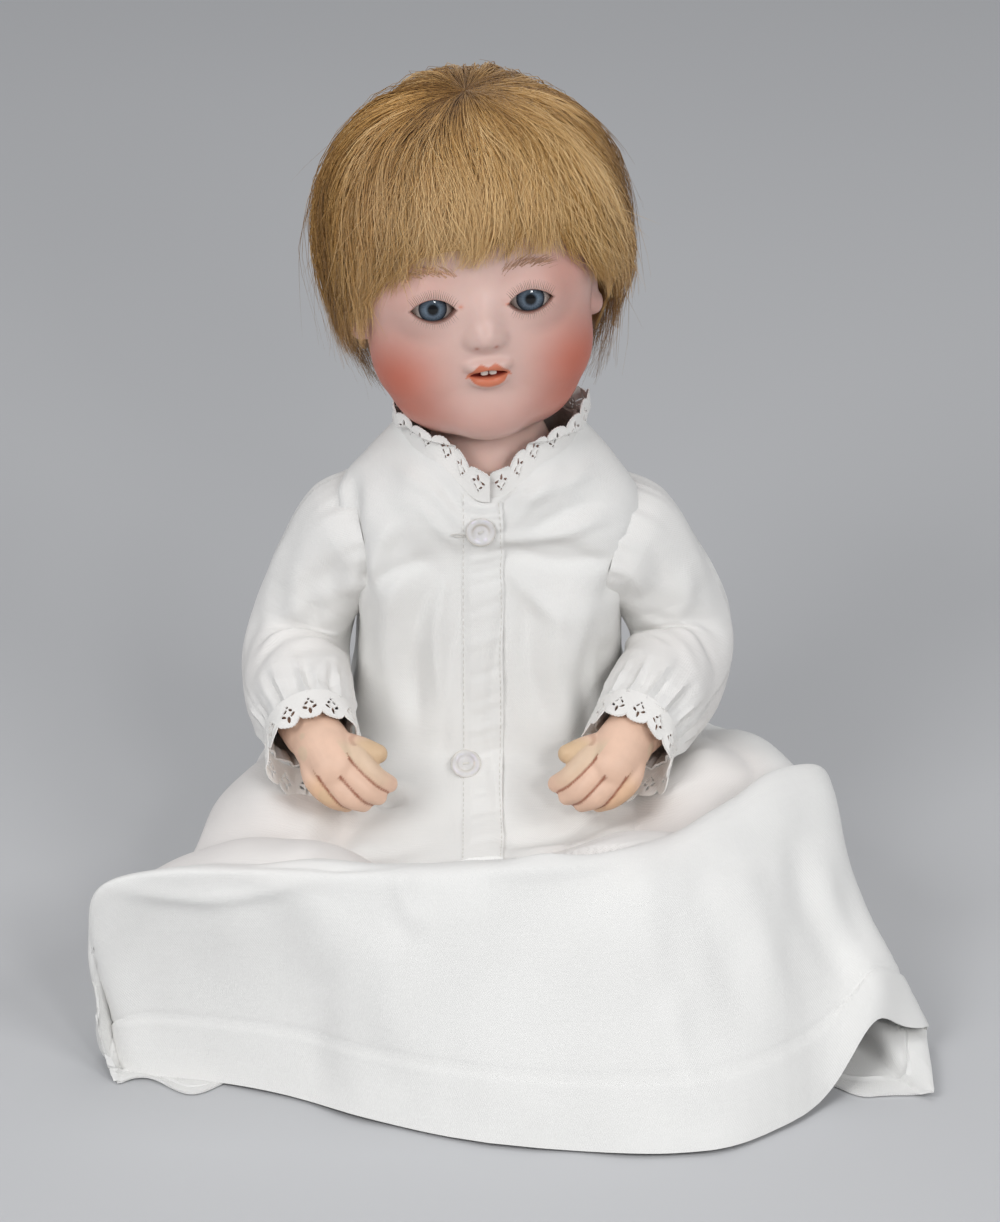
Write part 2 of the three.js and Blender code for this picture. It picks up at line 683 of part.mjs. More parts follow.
// The rest pose of each side: elbow and wrist of the arm, then knee, ankle and foot of the leg.
const wristZ = LAP_Z + WRIST_R + HAND_CLEAR;
const POSE = [
  {
    name: "left",
    side: 1,
    elbow: V(shoulderX + 27, -7, wristZ + 8),
    wrist: V(shoulderX + 11, -54, wristZ),
    knee: V(hipX + FOOT_SPREAD + 2, -LEG_REACH * 0.48, HIP_Z + 9),
    ankle: V(hipX + FOOT_SPREAD * 0.45, -LEG_REACH * 0.965, HIP_Z - 9),
  },
  {
    name: "right",
    side: -1,
    elbow: V(-shoulderX - 28, -7, wristZ + 7),
    wrist: V(-shoulderX - 22, -54, wristZ),
    knee: V(-hipX - FOOT_SPREAD + 1, -LEG_REACH * 0.57, HIP_Z + 2),
    ankle: V(-hipX - FOOT_SPREAD - 1, -LEG_REACH, HIP_Z - 10),
  },
];

function armPath(pose) {
  const { side, elbow, wrist } = pose;
  return [
    V(side * (shoulderX + 5), 0, SHOULDER_Z),
    V(side * (shoulderX + 18), -1, SHOULDER_Z - 6.5),
    V(side * (shoulderX + 25.5), -3, THREE.MathUtils.lerp(SHOULDER_Z, elbow.z, 0.62)),
    elbow,
    elbow.clone().lerp(wrist, 0.5).add(V(side * 2, -3, -1)),
    wrist,
  ];
}

// The hand points forwards and down and turns inwards, with its back upwards and its thumb inside.
function handBasis(pose) {
  const along = V(-pose.side * 0.44, -0.78, -0.38).normalize();
  const thumb = V(-pose.side, 0.1, 0.35);
  thumb.addScaledVector(along, -thumb.dot(along)).normalize();
  const back = along.clone().cross(thumb).multiplyScalar(-pose.side).normalize();
  if (back.z < 0) back.negate();
  return { along, thumb, back };
}

function buildHand(pose) {
  const { along, thumb, back } = handBasis(pose);
  const size = HAND_LENGTH / 33;
  const place = (f, t, b) =>
    pose.wrist
      .clone()
      .addScaledVector(along, f * size)
      .addScaledVector(thumb, t * size)
      .addScaledVector(back, b * size);
  let hand = limb([place(-2, 0, 0), place(8, 0.5, 1), place(17, 0, 1)], [8.4, 9.4, 8.6], 10, 3);
  const fingers = [
    [7.6, 20, 28, 3.5],
    [2.6, 21, 30, 3.6],
    [-2.5, 20.5, 29.5, 3.5],
    [-7.2, 19, 26.5, 3.2],
  ];
  for (const [t, knuckle, tip, r] of fingers) {
    const path = [place(knuckle - 8, t * 0.8, 2), place(knuckle, t, 1.6), place(tip - 2, t, -3), place(tip, t, -8.5)];
    hand = hand.add(limb(path, [r * size, r * size, r * 0.95 * size, r * 0.8 * size], 6, 4));
  }
  const thumbPath = [place(10, 4.5, 1), place(16, 10.5, 0), place(20, 14.5, -1.5)];
  return hand.add(limb(thumbPath, [4.2 * size, 3.9 * size, 3.2 * size], 6, 3));
}

function buildArm(pose) {
  const radii = [ARM_R, ARM_R * 0.9, ARM_R * 0.82, ARM_R * 0.82, ARM_R * 0.74, WRIST_R];
  return limb(armPath(pose), radii, 12, 10)
    .add(buildHand(pose))
    .subtract(flatSeat(pose.side, shoulderX, SHOULDER_Z, ARM_R))
    .subtract(hookBore(pose.side, shoulderX, SHOULDER_Z));
}

// The sleeve leaves the shoulder sideways and then follows the arm, with two soft folds at the elbow.
const cuffR = WRIST_R + SLEEVE_EASE + CLOTH + 0.6;
function sleevePath(pose) {
  const path = armPath(pose);
  const start = pose.side * (torsoAt(SHOULDER_Z).w + EASE + CLOTH + 2 * GAP);
  return [V(start, 0, SHOULDER_Z), V(start + pose.side * 2.5, 0, SHOULDER_Z - 0.3), ...path.slice(1)];
}

function buildSleeve(pose) {
  const list = frames(sleevePath(pose), 12);
  const clear = (p, r) => {
    const beside = torsoAt(Math.min(p.z, SHOULDER_Z)).w + EASE + CLOTH + 2 * GAP;
    return list[r].u < 0.5 ? p.setX(pose.side * Math.max(pose.side * p.x, beside)) : p;
  };
  const top = ARM_R + SLEEVE_EASE;
  const radii = [top, top + 0.3, top + 0.3, top, top, top - 1.6, cuffR];
  const rings = list.map((f, r) => {
    const fold = 1.4 * bump(f.u - 0.62, 0.05) + 1.2 * bump(f.u - 0.76, 0.05);
    const radius = spline(radii, f.u) + fold;
    return ringAround(f.at, f.across, f.up, radius, radius, 14).map((p) => clear(p, r));
  });
  return clothTube(rings, CLOTH, clear);
}

// The cuff ruffle carries on from the end of the sleeve in shallow waves.
function buildCuff(pose) {
  const list = frames(sleevePath(pose), 14);
  const end = list[list.length - 1];
  const along = end.along.clone().add(handBasis(pose).along).normalize();
  const rings = [0, 0.5, 1].map((t) => {
    const ring = [];
    for (let i = 0; i < 27; i++) {
      const angle = (i / 27) * 2 * Math.PI;
      const r = cuffR + 1.2 * t + 0.8 * t * Math.cos(9 * angle);
      const centre = end.at.clone().addScaledVector(end.along, GAP).addScaledVector(along, t * CUFF_LENGTH);
      const p = centre.addScaledVector(end.across, r * Math.cos(angle));
      ring.push(p.addScaledVector(end.up, r * Math.sin(angle)));
    }
    return ring;
  });
  return clothTube(rings, CLOTH * 0.8);
}

function legPath(pose) {
  const { side, knee, ankle } = pose;
  const hip = V(side * (hipX + 6), 0, HIP_Z);
  const thigh = hip.clone().lerp(knee, 0.5).add(V(side * 3, 0, 2));
  const calf = knee.clone().lerp(ankle, 0.5).add(V(side * 3, 0, 1));
  return [hip, thigh, knee, calf, ankle];
}

const legRadii = [THIGH_R, THIGH_R * 0.97, KNEE_R, KNEE_R * 0.9, ANKLE_R];
function footPath(pose) {
  const heel = pose.ankle.clone().add(V(-pose.side * 2, -6, 0)).setZ(SEAT_Z + 10.4);
  const toes = heel.clone().add(V(-pose.side * 2, -11, FOOT_LENGTH - 14));
  return [heel, heel.clone().lerp(toes, 0.5).add(V(0, 2.5, 0)), toes];
}

function buildLeg(pose) {
  let leg = limb(legPath(pose), legRadii, 12, 9).add(limb(footPath(pose), [10, 9.4, 9.4], 10, 4));
  const toes = footPath(pose)[2];
  for (let i = 0; i < 5; i++) {
    const across = -pose.side * (8 - 4 * i);
    const r = i === 0 ? 4.4 : 3.5 - 0.15 * i;
    leg = leg.add(ball(V(toes.x + across, toes.y + 0.5, toes.z + 8 - 0.8 * i), r, 6, 5));
  }
  return leg
    .subtract(flatSeat(pose.side, hipX, HIP_Z, THIGH_R))
    .subtract(hookBore(pose.side, hipX, HIP_Z));
}

// Cloth lies over the legs: the height of the lap at a place follows the leg or foot below it.
const legMarks = POSE.flatMap((pose) => [
  ...frames(legPath(pose), 6).map((f) => ({ at: f.at, r: spline(legRadii, f.u) })),
  ...footPath(pose).map((at) => ({ at, r: 10 })),
  { at: footPath(pose)[2].clone().add(V(0, 0, 8)), r: 6 },
]);
function drape(x, y) {
  let top = 0;
  for (const { at, r } of legMarks) {
    const lift = r + EASE + CLOTH + 2;
    const away = Math.hypot(x - at.x, y - at.y);
    top = Math.max(top, at.z + lift - (away * away) / (2.6 * lift));
  }
  return top;
}

// The gown is one flattened tube from the neck to the hem. Each row holds the front line (y, z), the back
// line (y, z), and how far the tube reaches to the doll's left and right.
function gownRows() {
  const rows = [];
  const loose = EASE + CLOTH;
  const sideX = torsoAt(SHOULDER_Z).w + loose;
  const brow = SHOULDER_Z + ARM_R + SLEEVE_EASE + CLOTH;
  const yoke = [
    [RIM_Z + NECKLINE_LIFT, NECK_STAND, torsoAt(RIM_Z).w + loose, 0],
    [brow + 4.5, NECK_STAND, (sideX + SHOULDER_SPREAD) / 2 - 5, 1],
    [brow - 0.8, NECK_STAND, SHOULDER_SPREAD, 2.5],
    [brow - 4.2, NECK_STAND, SHOULDER_SPREAD - 2, 3],
    [brow - 5, NECK_STAND, sideX, 3.2],
  ];
  for (const [z, stand, w, fuller] of yoke) {
    const { front, back } = torsoAt(RIM_Z);
    rows.push([-front - loose - fuller, z, back + loose + fuller, z + stand, w, w, 2.5]);
  }
  for (const level of [0.8, 0.65, 0.5]) {
    const z = SEAT_Z + level * TORSO_HEIGHT;
    const { w, front, back } = torsoAt(z);
    rows.push([-front - loose, z, back + loose, z + 1, w + loose, w + loose, 2.5]);
  }
  const belly = -torsoAt(LAP_Z + 12).front - EASE - CLOTH;
  const behind = torsoAt(HIP_Z).back + EASE + CLOTH;
  const knees = POSE.map((pose) => Math.abs(pose.knee.x) + KNEE_R + EASE + CLOTH);
  const feetY = Math.min(...POSE.map((pose) => footPath(pose)[2].y)) - 10 - EASE - CLOTH;
  const ridge = SEAT_Z + FOOT_LENGTH + 16.5;
  const [left, right] = knees;
  rows.push([belly - 2, LAP_Z + 10, behind - 1, 46, left * 0.58, right * 0.57, 2.6]);
  rows.push([belly - 8, LAP_Z + 4, behind, 33, left * 0.87, right * 0.81, 3]);
  rows.push([belly - 20, LAP_Z - 2, behind - 3, 12, left * 1.04, right * 0.91, 3.6]);
  rows.push([belly - 36, LAP_Z - 5, behind - 14, -5, left * 1.12, right * 0.99, 4]);
  rows.push([belly - 54, LAP_Z - 6, -30, -7, left * 1.14, right * 1.05, 4]);
  rows.push([feetY + 39, LAP_Z + 1, -80, -8, left * 1.15, right * 1.15, 4]);
  rows.push([feetY + 19, ridge - 8, -114, -8, left * 1.16, right * 1.27, 4.6]);
  rows.push([feetY + 3, ridge - 2, -130, -7, left * 1.18, right * 1.34, 5]);
  rows.push([feetY - 8, ridge - 11, -141, -5, left * 1.22, right * 1.34, 5]);
  rows.push([feetY - 21, ridge - 29, -150, -4, left * 1.28, right * 1.32, 5]);
  rows.push([feetY - 35, ridge - 51, -156, -3, left * 1.36, right * 1.29, 4.6]);
  rows.push([feetY - 48, 1.4, -160, -2, left * 1.45, right * 1.27, 4]);
  return rows;
}

// Reads a table of [place, value] pairs, straight between its places.
function readTable(table, place) {
  let last = table[0];
  for (const next of table) {
    if (place <= next[0]) {
      const t = next[0] > last[0] ? (place - last[0]) / (next[0] - last[0]) : 0;
      return THREE.MathUtils.lerp(last[1], next[1], Math.max(t, 0));
    }
    last = next;
  }
  return last[1];
}

// The front layer draws back toward the body at the doll's left knee, and at both ends of the hem. Places
// are shares of the half width over the knees.
const RIDGE_BACK = [[-1.42, 0], [0.25, 0], [0.63, 14], [1.02, 52], [1.25, 72], [1.6, 84]];
const HEM_BACK = [
  [-1.42, 43], [-0.97, 45], [-0.57, 29], [-0.2, 10], [0.34, 1], [0.82, 1], [1.02, 10], [1.25, 42], [1.6, 60],
];
// The lap stands higher toward the doll's left knee, row by row.
const KNEE_LIFT = [[7.5, 0], [9, 14], [10, 18], [12, 20], [13, 17], [15, 3], [16, 0]];

// The loose front panel hangs in upright folds below the ridge over the feet.
function hangingFold(place, share) {
  const at = (middle, height, width) => height * bump(place - middle, width);
  return share * (at(-0.38, 1.4, 0.1) + at(0.58, 1.6, 0.1) + at(0.79, -1.6, 0.09) + at(1, 1.6, 0.09));
}

function gownRings() {
  const rows = gownRows();
  const sides = 32;
  const last = rows.length - 1;
  const wide = hipX + FOOT_SPREAD + KNEE_R;
  return rows.map(([fy, fz, by, bz, left, right, power], r) => {
    const hanging = step(last - 5, last - 1.5, r);
    const lap = step(7.2, 9.6, r) * (1 - hanging);
    const ridge = step(11.6, 14.6, r);
    const hem = step(last - 4.5, last, r);
    const ring = [];
    for (let i = 0; i < sides; i++) {
      const angle = (i / sides) * 2 * Math.PI;
      const c = Math.cos(angle);
      const s = Math.sin(angle);
      const p = Math.sign(c) * Math.abs(c) ** (2 / power);
      const q = Math.sign(s) * Math.abs(s) ** (2 / power);
      const x = p * (p > 0 ? left : right);
      const over = step(-0.6, 0.4, q);
      const place = x / wide;
      const back = ridge * (1 - hem) * readTable(RIDGE_BACK, place) + hem * readTable(HEM_BACK, place);
      const y = (fy + by) / 2 + (q * (fy - by)) / 2 + back * (0.35 + 0.65 * over);
      let z = (fz + bz) / 2 + (q * (fz - bz)) / 2;
      z += over * readTable(KNEE_LIFT, r) * step(0.6, 1.12, place);
      if (q > 0) z = THREE.MathUtils.lerp(z, Math.max(z, drape(x, y)), lap);
      const out = q > 0.2 ? hangingFold(place, hanging) : 0;
      ring.push(V(x, y - out, Math.max(z, 0)));
    }
    return ring;
  });
}

const gown = gownRings();
function buildGown() {
  let cloth = clothTube(gown, CLOTH);
  const hole = ARM_R + SLIDE + 1.4;
  for (const side of [-1, 1]) {
    const from = V(side * (shoulderX + 2), 0, SHOULDER_Z);
    cloth = cloth.subtract(rod(from, V(side * BODY_WIDTH, 0, SHOULDER_Z), hole, 24));
  }
  return cloth;
}

// The collar stands on the neckline and dips in front.
function buildCollar() {
  const neckline = gown[0];
  const middle = V(0, NECK_Y, 0);
  const sides = 36;
  const edge = new THREE.CatmullRomCurve3(neckline, true);
  const rings = [0, 0.5, 1].map((t) => {
    const ring = [];
    for (let i = 0; i < sides; i++) {
      const u = i / sides;
      const p = edge.getPoint(u);
      const outwards = p.clone().sub(middle).setZ(0).normalize();
      const front = step(0, 1, -outwards.y);
      const wave = 0.9 * Math.cos(12 * 2 * Math.PI * u);
      const spread = 3.5 + 3 * front;
      p.addScaledVector(outwards, spread * t + wave * t);
      ring.push(p.setZ(p.z + GAP + CLOTH * 0.6 + COLLAR_HEIGHT * t * (1 - 0.45 * front)));
    }
    return ring;
  });
  return clothTube(rings, CLOTH * 0.8);
}

// The placket follows the middle of the gown's front, a clearance outside the cloth.
const frontLine = new THREE.CatmullRomCurve3(gown.slice(1, 11).map((ring) => ring[8].clone()));
function frontFrame(u) {
  const along = frontLine.getTangent(u);
  const outwards = along.clone().cross(V(-1, 0, 0)).normalize();
  if (outwards.y > 0) outwards.negate();
  return { at: frontLine.getPoint(u), outwards };
}

function buildPlacket() {
  const rings = [];
  for (let i = 0; i <= 24; i++) {
    const { at, outwards } = frontFrame(i / 24);
    const near = at.clone().addScaledVector(outwards, GAP * 2);
    const far = near.clone().addScaledVector(outwards, PLACKET_THICK);
    const [a, b] = [PLACKET_SHIFT - PLACKET_WIDTH / 2, PLACKET_SHIFT + PLACKET_WIDTH / 2];
    rings.push([near.clone().setX(a), near.clone().setX(b), far.clone().setX(b), far.clone().setX(a)]);
  }
  return skin(rings);
}

// Where the placket bends under a button, the button lies a little further out.
function buildButton(u, x, bend) {
  const { at, outwards } = frontFrame(u);
  const profile = [
    [0, 0],
    [BUTTON_R * 0.9, 0],
    [BUTTON_R, BUTTON_THICK * 0.4],
    [BUTTON_R * 0.9, BUTTON_THICK],
    [BUTTON_R * 0.6, BUTTON_THICK * 0.75],
    [0, BUTTON_THICK * 0.7],
  ].map(([r, h]) => new THREE.Vector2(r, h));
  let button = solidOf(new THREE.LatheGeometry(profile, 18));
  for (const side of [-1, 1]) {
    const hole = side * BUTTON_R * 0.28;
    button = button.subtract(rod(V(hole, -1, 0), V(hole, BUTTON_THICK + 1, 0), BUTTON_R * 0.13, 6));
  }
  const turned = geometryOf(button);
  turned.applyQuaternion(new THREE.Quaternion().setFromUnitVectors(V(0, 1, 0), outwards));
  const foot = at.clone().addScaledVector(outwards, GAP * 2 + PLACKET_THICK + GAP + bend);
  turned.translate(x, foot.y, foot.z);
  return solidOf(turned);
}

buildHeadPieces();
buildNeckPieces();
add(doll, "torso_shell", buildTorso(), composition);
buildElastics();
for (const pose of POSE) {
  add(doll, `${pose.name}_arm`, buildArm(pose), composition);
  add(doll, `${pose.name}_arm_hook`, limbHook(pose.side, shoulderX, SHOULDER_Z), steel);
  add(doll, `${pose.name}_sleeve`, buildSleeve(pose), cotton);
  add(doll, `${pose.name}_cuff`, buildCuff(pose), lace);
  add(doll, `${pose.name}_leg`, buildLeg(pose), composition);
  add(doll, `${pose.name}_leg_hook`, limbHook(pose.side, hipX, HIP_Z), steel);
}
add(doll, "gown_body", buildGown(), cotton);
add(doll, "collar_ruffle", buildCollar(), lace);
add(doll, "button_placket", buildPlacket(), cotton);
add(doll, "upper_button", buildButton(0.1, PLACKET_SHIFT, 0.25), pearl);
add(doll, "lower_button", buildButton(0.74, PLACKET_SHIFT - 2, 0.9), pearl);

export default doll;
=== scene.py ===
# %% [markdown]
# # A bisque baby doll in a long cotton gown
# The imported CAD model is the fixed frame: every piece below is made in metres, in that frame, and rides on
# one of its bodies. The first cells load the frame, note its box and set up the camera and the light.

# %% Load the frame
import math
import bpy
import numpy as np
from mathutils import Matrix, Vector
from mathutils.geometry import delaunay_2d_cdt


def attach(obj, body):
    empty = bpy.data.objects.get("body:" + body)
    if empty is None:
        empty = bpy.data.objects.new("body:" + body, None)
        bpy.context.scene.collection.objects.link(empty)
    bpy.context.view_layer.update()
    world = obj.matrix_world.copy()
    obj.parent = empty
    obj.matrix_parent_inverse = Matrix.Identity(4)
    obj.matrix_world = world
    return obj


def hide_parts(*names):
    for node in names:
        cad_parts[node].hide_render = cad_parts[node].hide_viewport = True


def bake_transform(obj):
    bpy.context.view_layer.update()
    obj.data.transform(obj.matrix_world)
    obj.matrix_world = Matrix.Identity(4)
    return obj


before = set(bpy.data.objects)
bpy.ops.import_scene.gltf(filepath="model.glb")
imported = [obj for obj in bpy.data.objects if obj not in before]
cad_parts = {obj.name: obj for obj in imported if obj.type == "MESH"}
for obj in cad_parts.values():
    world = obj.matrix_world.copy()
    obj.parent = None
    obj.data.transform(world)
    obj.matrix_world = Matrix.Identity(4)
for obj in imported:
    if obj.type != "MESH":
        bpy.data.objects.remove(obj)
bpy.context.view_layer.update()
MM = 0.001
scene = bpy.context.scene
scene.view_settings.view_transform = "Standard"

# %% [markdown]
# ## Camera, floor and light
# The doll is seen from 25 degrees above, through a long lens. The frame is 1000 by 1222 pixels, so a focal
# length of 4500 pixels is 162 mm on a 36 mm wide sensor. Two large soft lamps stand in front to the left
# and right, as in a studio. A small one in front makes the lights in the eyes, and a wide one above fills
# the shadows. The pale floor runs on behind the doll.

# %% Camera, floor and lamps
PICTURE_WIDE, PICTURE_HIGH = 1000, 1222
SENSOR_WIDE = 36
ELEVATION = math.radians(25)
DISTANCE = 1500
FOCAL_PIXELS = 4500
AIM = np.array([3.3, 0, 91.5])
TO_CAMERA = np.array([0, -math.cos(ELEVATION), math.sin(ELEVATION)])
CAMERA_UP = np.array([0, math.sin(ELEVATION), math.cos(ELEVATION)])
LAMPS = [  # name, place and size in metres, power in watts
    ("lamp_left", (-1.1, -1.25, 1.35), (0.9, 0.9), 16.5), ("lamp_right", (1.15, -1.2, 1.25), (0.8, 0.8), 10.6),
    ("lamp_front", (0.36, -1.24, 0.76), (0.2, 0.16), 3.0), ("lamp_above", (0.0, 0.5, 1.9), (1.6, 1.0), 9),
]
LIT_POINT = Vector((0, 0, 0.1))
SKY_COLOUR, SKY_POWER = (0.93, 0.95, 1, 1), 0.3

camera_data = bpy.data.cameras.new("camera")
camera_data.sensor_fit = "HORIZONTAL"
camera_data.sensor_width = SENSOR_WIDE
camera_data.lens = SENSOR_WIDE * FOCAL_PIXELS / PICTURE_WIDE
camera = bpy.data.objects.new("camera", camera_data)
camera.location = (AIM + DISTANCE * TO_CAMERA) * MM
camera.rotation_euler = (math.pi / 2 - ELEVATION, 0, 0)
scene.collection.objects.link(camera)
scene.camera = camera


def picture_place(points):
    """Where points (mm) fall in the picture, in pixels from its upper left corner."""
    away = points - AIM
    depth = DISTANCE - away @ TO_CAMERA
    right, up = FOCAL_PIXELS * away[:, 0] / depth, FOCAL_PIXELS * (away @ CAMERA_UP) / depth
    return np.stack([PICTURE_WIDE / 2 + right, PICTURE_HIGH / 2 - up], 1)


for name, place, size, power in LAMPS:
    data = bpy.data.lights.new(name, "AREA")
    data.shape = "RECTANGLE"
    data.size, data.size_y = size
    data.energy = power
    lamp = bpy.data.objects.new(name, data)
    lamp.location = place
    lamp.rotation_euler = (LIT_POINT - Vector(place)).to_track_quat("-Z", "Y").to_euler()
    scene.collection.objects.link(lamp)
world = bpy.data.worlds.new("studio")
scene.world = world
world.use_nodes = True
sky = world.node_tree.nodes["Background"].inputs
sky["Color"].default_value = SKY_COLOUR
sky["Strength"].default_value = SKY_POWER

floor_mesh = bpy.data.meshes.new("floor")
floor_mesh.from_pydata([(-5, -4, 0), (5, -4, 0), (5, 9, 0), (-5, 9, 0)], [], [(0, 1, 2, 3)])
floor = bpy.data.objects.new("floor", floor_mesh)
scene.collection.objects.link(floor)
print("camera at", [round(v, 3) for v in camera.location], "and", len(LAMPS), "lamps")

# %% [markdown]
# ## Small helpers
# A piece is a mesh whose place is in its points. Points are worked out in millimetres with numpy and are
# turned into metres when the mesh is made. A grid of points becomes quads, and it can be closed round.

# %% Helpers for meshes
SIDES = ((1, "left"), (-1, "right"))
rng = np.random.default_rng(7)


def new_piece(name, points, edges=(), faces=()):
    """An object of points in mm, with its edges or faces."""
    mesh = bpy.data.meshes.new(name)
    mesh.from_pydata((points * MM).tolist(), edges, faces)
    piece = bpy.data.objects.new(name, mesh)
    scene.collection.objects.link(piece)
    return piece


def shade_smooth(piece):
    piece.data.polygons.foreach_set("use_smooth", [True] * len(piece.data.polygons))


def make_piece(name, points, faces, material=None, closed=False):
    """A smooth mesh. If it is closed, its faces are made to look outward."""
    points = np.asarray(points, float)
    faces = [tuple(f) for f in (faces.tolist() if isinstance(faces, np.ndarray) else faces)]
    if closed:
        fan = np.array([(f[0], f[k], f[k + 1]) for f in faces for k in range(1, len(f) - 1)])
        a, b, c = (points[fan[:, k]] - points.mean(0) for k in range(3))
        if (a * np.cross(b, c)).sum() < 0:
            faces = [f[::-1] for f in faces]
    piece = new_piece(name, points, faces=faces)
    shade_smooth(piece)
    if material:
        piece.data.materials.append(material)
    return piece


def grid_faces(rows, columns, closed=True):
    r, c = np.meshgrid(np.arange(rows - 1), np.arange(columns if closed else columns - 1), indexing="ij")
    here, beside = r * columns + c, r * columns + (c + 1) % columns
    return np.stack([here, beside, beside + columns, here + columns], -1).reshape(-1, 4)


def capped_faces(rows, columns):
    """A grid closed round, with a fan at each end to one of the two points that follow the grid's."""
    first, end = np.arange(columns), rows * columns
    second = (first + 1) % columns
    last = end - columns
    fans = np.concatenate([
        np.stack([second, first, np.full(columns, end)], 1),
        np.stack([last + first, last + second, np.full(columns, end + 1)], 1),
    ])
    return grid_faces(rows, columns).tolist() + fans.tolist()


def points_of(piece):
    co = np.empty(len(piece.data.vertices) * 3)
    piece.data.vertices.foreach_get("co", co)
    return co.reshape(-1, 3) / MM


def set_points(piece, points):
    piece.data.vertices.foreach_set("co", (points * MM).ravel())
    piece.data.update()


def paint(piece, name, colours):
    """One colour for each point, kept as an attribute that a material can read."""
    colours = np.asarray(colours, float)
    if colours.ndim == 1:
        colours = np.repeat(colours[:, None], 3, 1)
    full = np.concatenate([colours, np.ones((len(colours), 1))], 1).astype(np.float32)
    layer = piece.data.color_attributes.new(name, "FLOAT_COLOR", "POINT")
    layer.data.foreach_set("color", full.ravel())


def lay_uv(piece, uv):
    """A map in millimetres, one place for each point, for patterns that follow the cloth."""
    layer = piece.data.uv_layers.new(name="cloth")
    corner = np.empty(len(piece.data.loops), np.int32)
    piece.data.loops.foreach_get("vertex_index", corner)
    layer.data.foreach_set("uv", uv[corner].astype(np.float32).ravel())


def finish_shape(piece):
    """Applies the modifiers, so that the piece is a plain mesh."""
    graph = bpy.context.evaluated_depsgraph_get()
    fresh = bpy.data.meshes.new_from_object(piece.evaluated_get(graph), depsgraph=graph)
    old = piece.data
    piece.modifiers.clear()
    piece.data = fresh
    fresh.name = piece.name
    if not any(fresh.materials):
        fresh.materials.clear()
    bpy.data.meshes.remove(old)


def smoothstep(low, high, x):
    t = np.clip((x - low) / (high - low), 0, 1)
    return t * t * (3 - 2 * t)


def bump(distance, width):
    return np.exp(-((distance / width) ** 2))


def read_table(x, table):
    """A table of pairs, read between its rows."""
    return np.interp(x, *zip(*table))


def unit(v):
    return v / np.linalg.norm(v, axis=-1, keepdims=True)


def path_lengths(line):
    """How far along a line each of its points lies."""
    return np.concatenate([[0], np.cumsum(np.linalg.norm(np.diff(line, axis=0), axis=1))])


def read_along(at, lengths, line):
    """The places at given lengths along a line."""
    return np.stack([np.interp(at, lengths, column) for column in line.T], 1)


def relax(line, times):
    """Draws every point of a line toward its neighbours, again and again."""
    for _ in range(times):
        line[1:-1] = line[1:-1] * 0.5 + (line[:-2] + line[2:]) * 0.25
    return line


def curve_through(rows, count):
    """A smooth curve through rows of numbers, read at evenly spaced steps."""
    rows = np.asarray(rows, float)
    at = np.linspace(0, len(rows) - 1, count)
    k = np.clip(at.astype(int), 0, len(rows) - 2)
    t = (at - k).reshape(-1, *([1] * (rows.ndim - 1)))
    p0, p1 = rows[np.maximum(k - 1, 0)], rows[k]
    p2, p3 = rows[k + 1], rows[np.minimum(k + 2, len(rows) - 1)]
    bend = 2 * p0 - 5 * p1 + 4 * p2 - p3
    return 0.5 * (2 * p1 + (p2 - p0) * t + bend * t**2 + (3 * p1 - p0 - 3 * p2 + p3) * t**3)


# %% [markdown]
# ## Finishes that several materials share
# A soft mottle breaks up any even colour, and a plain weave gives cotton its threads. Each is a shader
# node group with named inputs, built once. A group puts out values, and the shader stays in the material.

# %% Helpers for materials, and the shared groups
SOCKETS = {"value": "NodeSocketFloat", "vector": "NodeSocketVector"}


def feed(tree, socket, value):
    """Links a socket to another node, or sets its constant."""
    if isinstance(value, bpy.types.NodeSocket):
        tree.links.new(value, socket)
    else:
        socket.default_value = value


def add_node(tree, kind, settings=None, **inputs):
    """Inputs go by their names, or by their numbers as i0, i1 and so on."""
    made = tree.nodes.new(kind)
    for key, value in (settings or {}).items():
        setattr(made, key, value)
    for key, value in inputs.items():
        feed(tree, made.inputs[int(key[1:]) if key[1:].isdigit() else key.replace("_", " ")], value)
    return made


def maths(tree, operation, a, b=0.0, c=0.5):
    return add_node(tree, "ShaderNodeMath", {"operation": operation}, i0=a, i1=b, i2=c).outputs[0]


def mixed(tree, share, a, b, how="MIX"):
    settings = {"data_type": "RGBA", "blend_type": how}
    return add_node(tree, "ShaderNodeMix", settings, i0=share, i6=a, i7=b).outputs[2]


def ramp(tree, value, stops):
    made = add_node(tree, "ShaderNodeValToRGB", i0=value)
    band = made.color_ramp
    while len(band.elements) < len(stops):
        band.elements.new(0.5)
    for element, (place, colour) in zip(band.elements, stops):
        element.position = place
        element.color = (*colour, 1)
    return made.outputs[0]


def raised(tree, height, distance, strength):
    return add_node(tree, "ShaderNodeBump", Strength=strength, Distance=distance, Height=height).outputs[0]


def attribute(tree, name, output="Color"):
    return add_node(tree, "ShaderNodeAttribute", {"attribute_name": name}).outputs[output]


def start_group(name, inputs, outputs):
    tree = bpy.data.node_groups.new(name, "ShaderNodeTree")
    for label, kind, value in inputs:
        socket = tree.interface.new_socket(label, in_out="INPUT", socket_type=SOCKETS[kind])
        if value is not None:
            socket.default_value = value
    for label, kind in outputs:
        tree.interface.new_socket(label, in_out="OUTPUT", socket_type=SOCKETS[kind])
    return tree, tree.nodes.new("NodeGroupInput").outputs, tree.nodes.new("NodeGroupOutput").inputs


def use_group(tree, group, **inputs):
    return add_node(tree, "ShaderNodeGroup", {"node_tree": group}, **inputs).outputs


def start_material(name, **sockets):
    material = bpy.data.materials.new(name)
    material.use_nodes = True
    tree = material.node_tree
    shader = tree.nodes["Principled BSDF"]
    for key, value in sockets.items():
        shader.inputs[key.replace("_", " ")].default_value = value
    return material, tree, shader.inputs


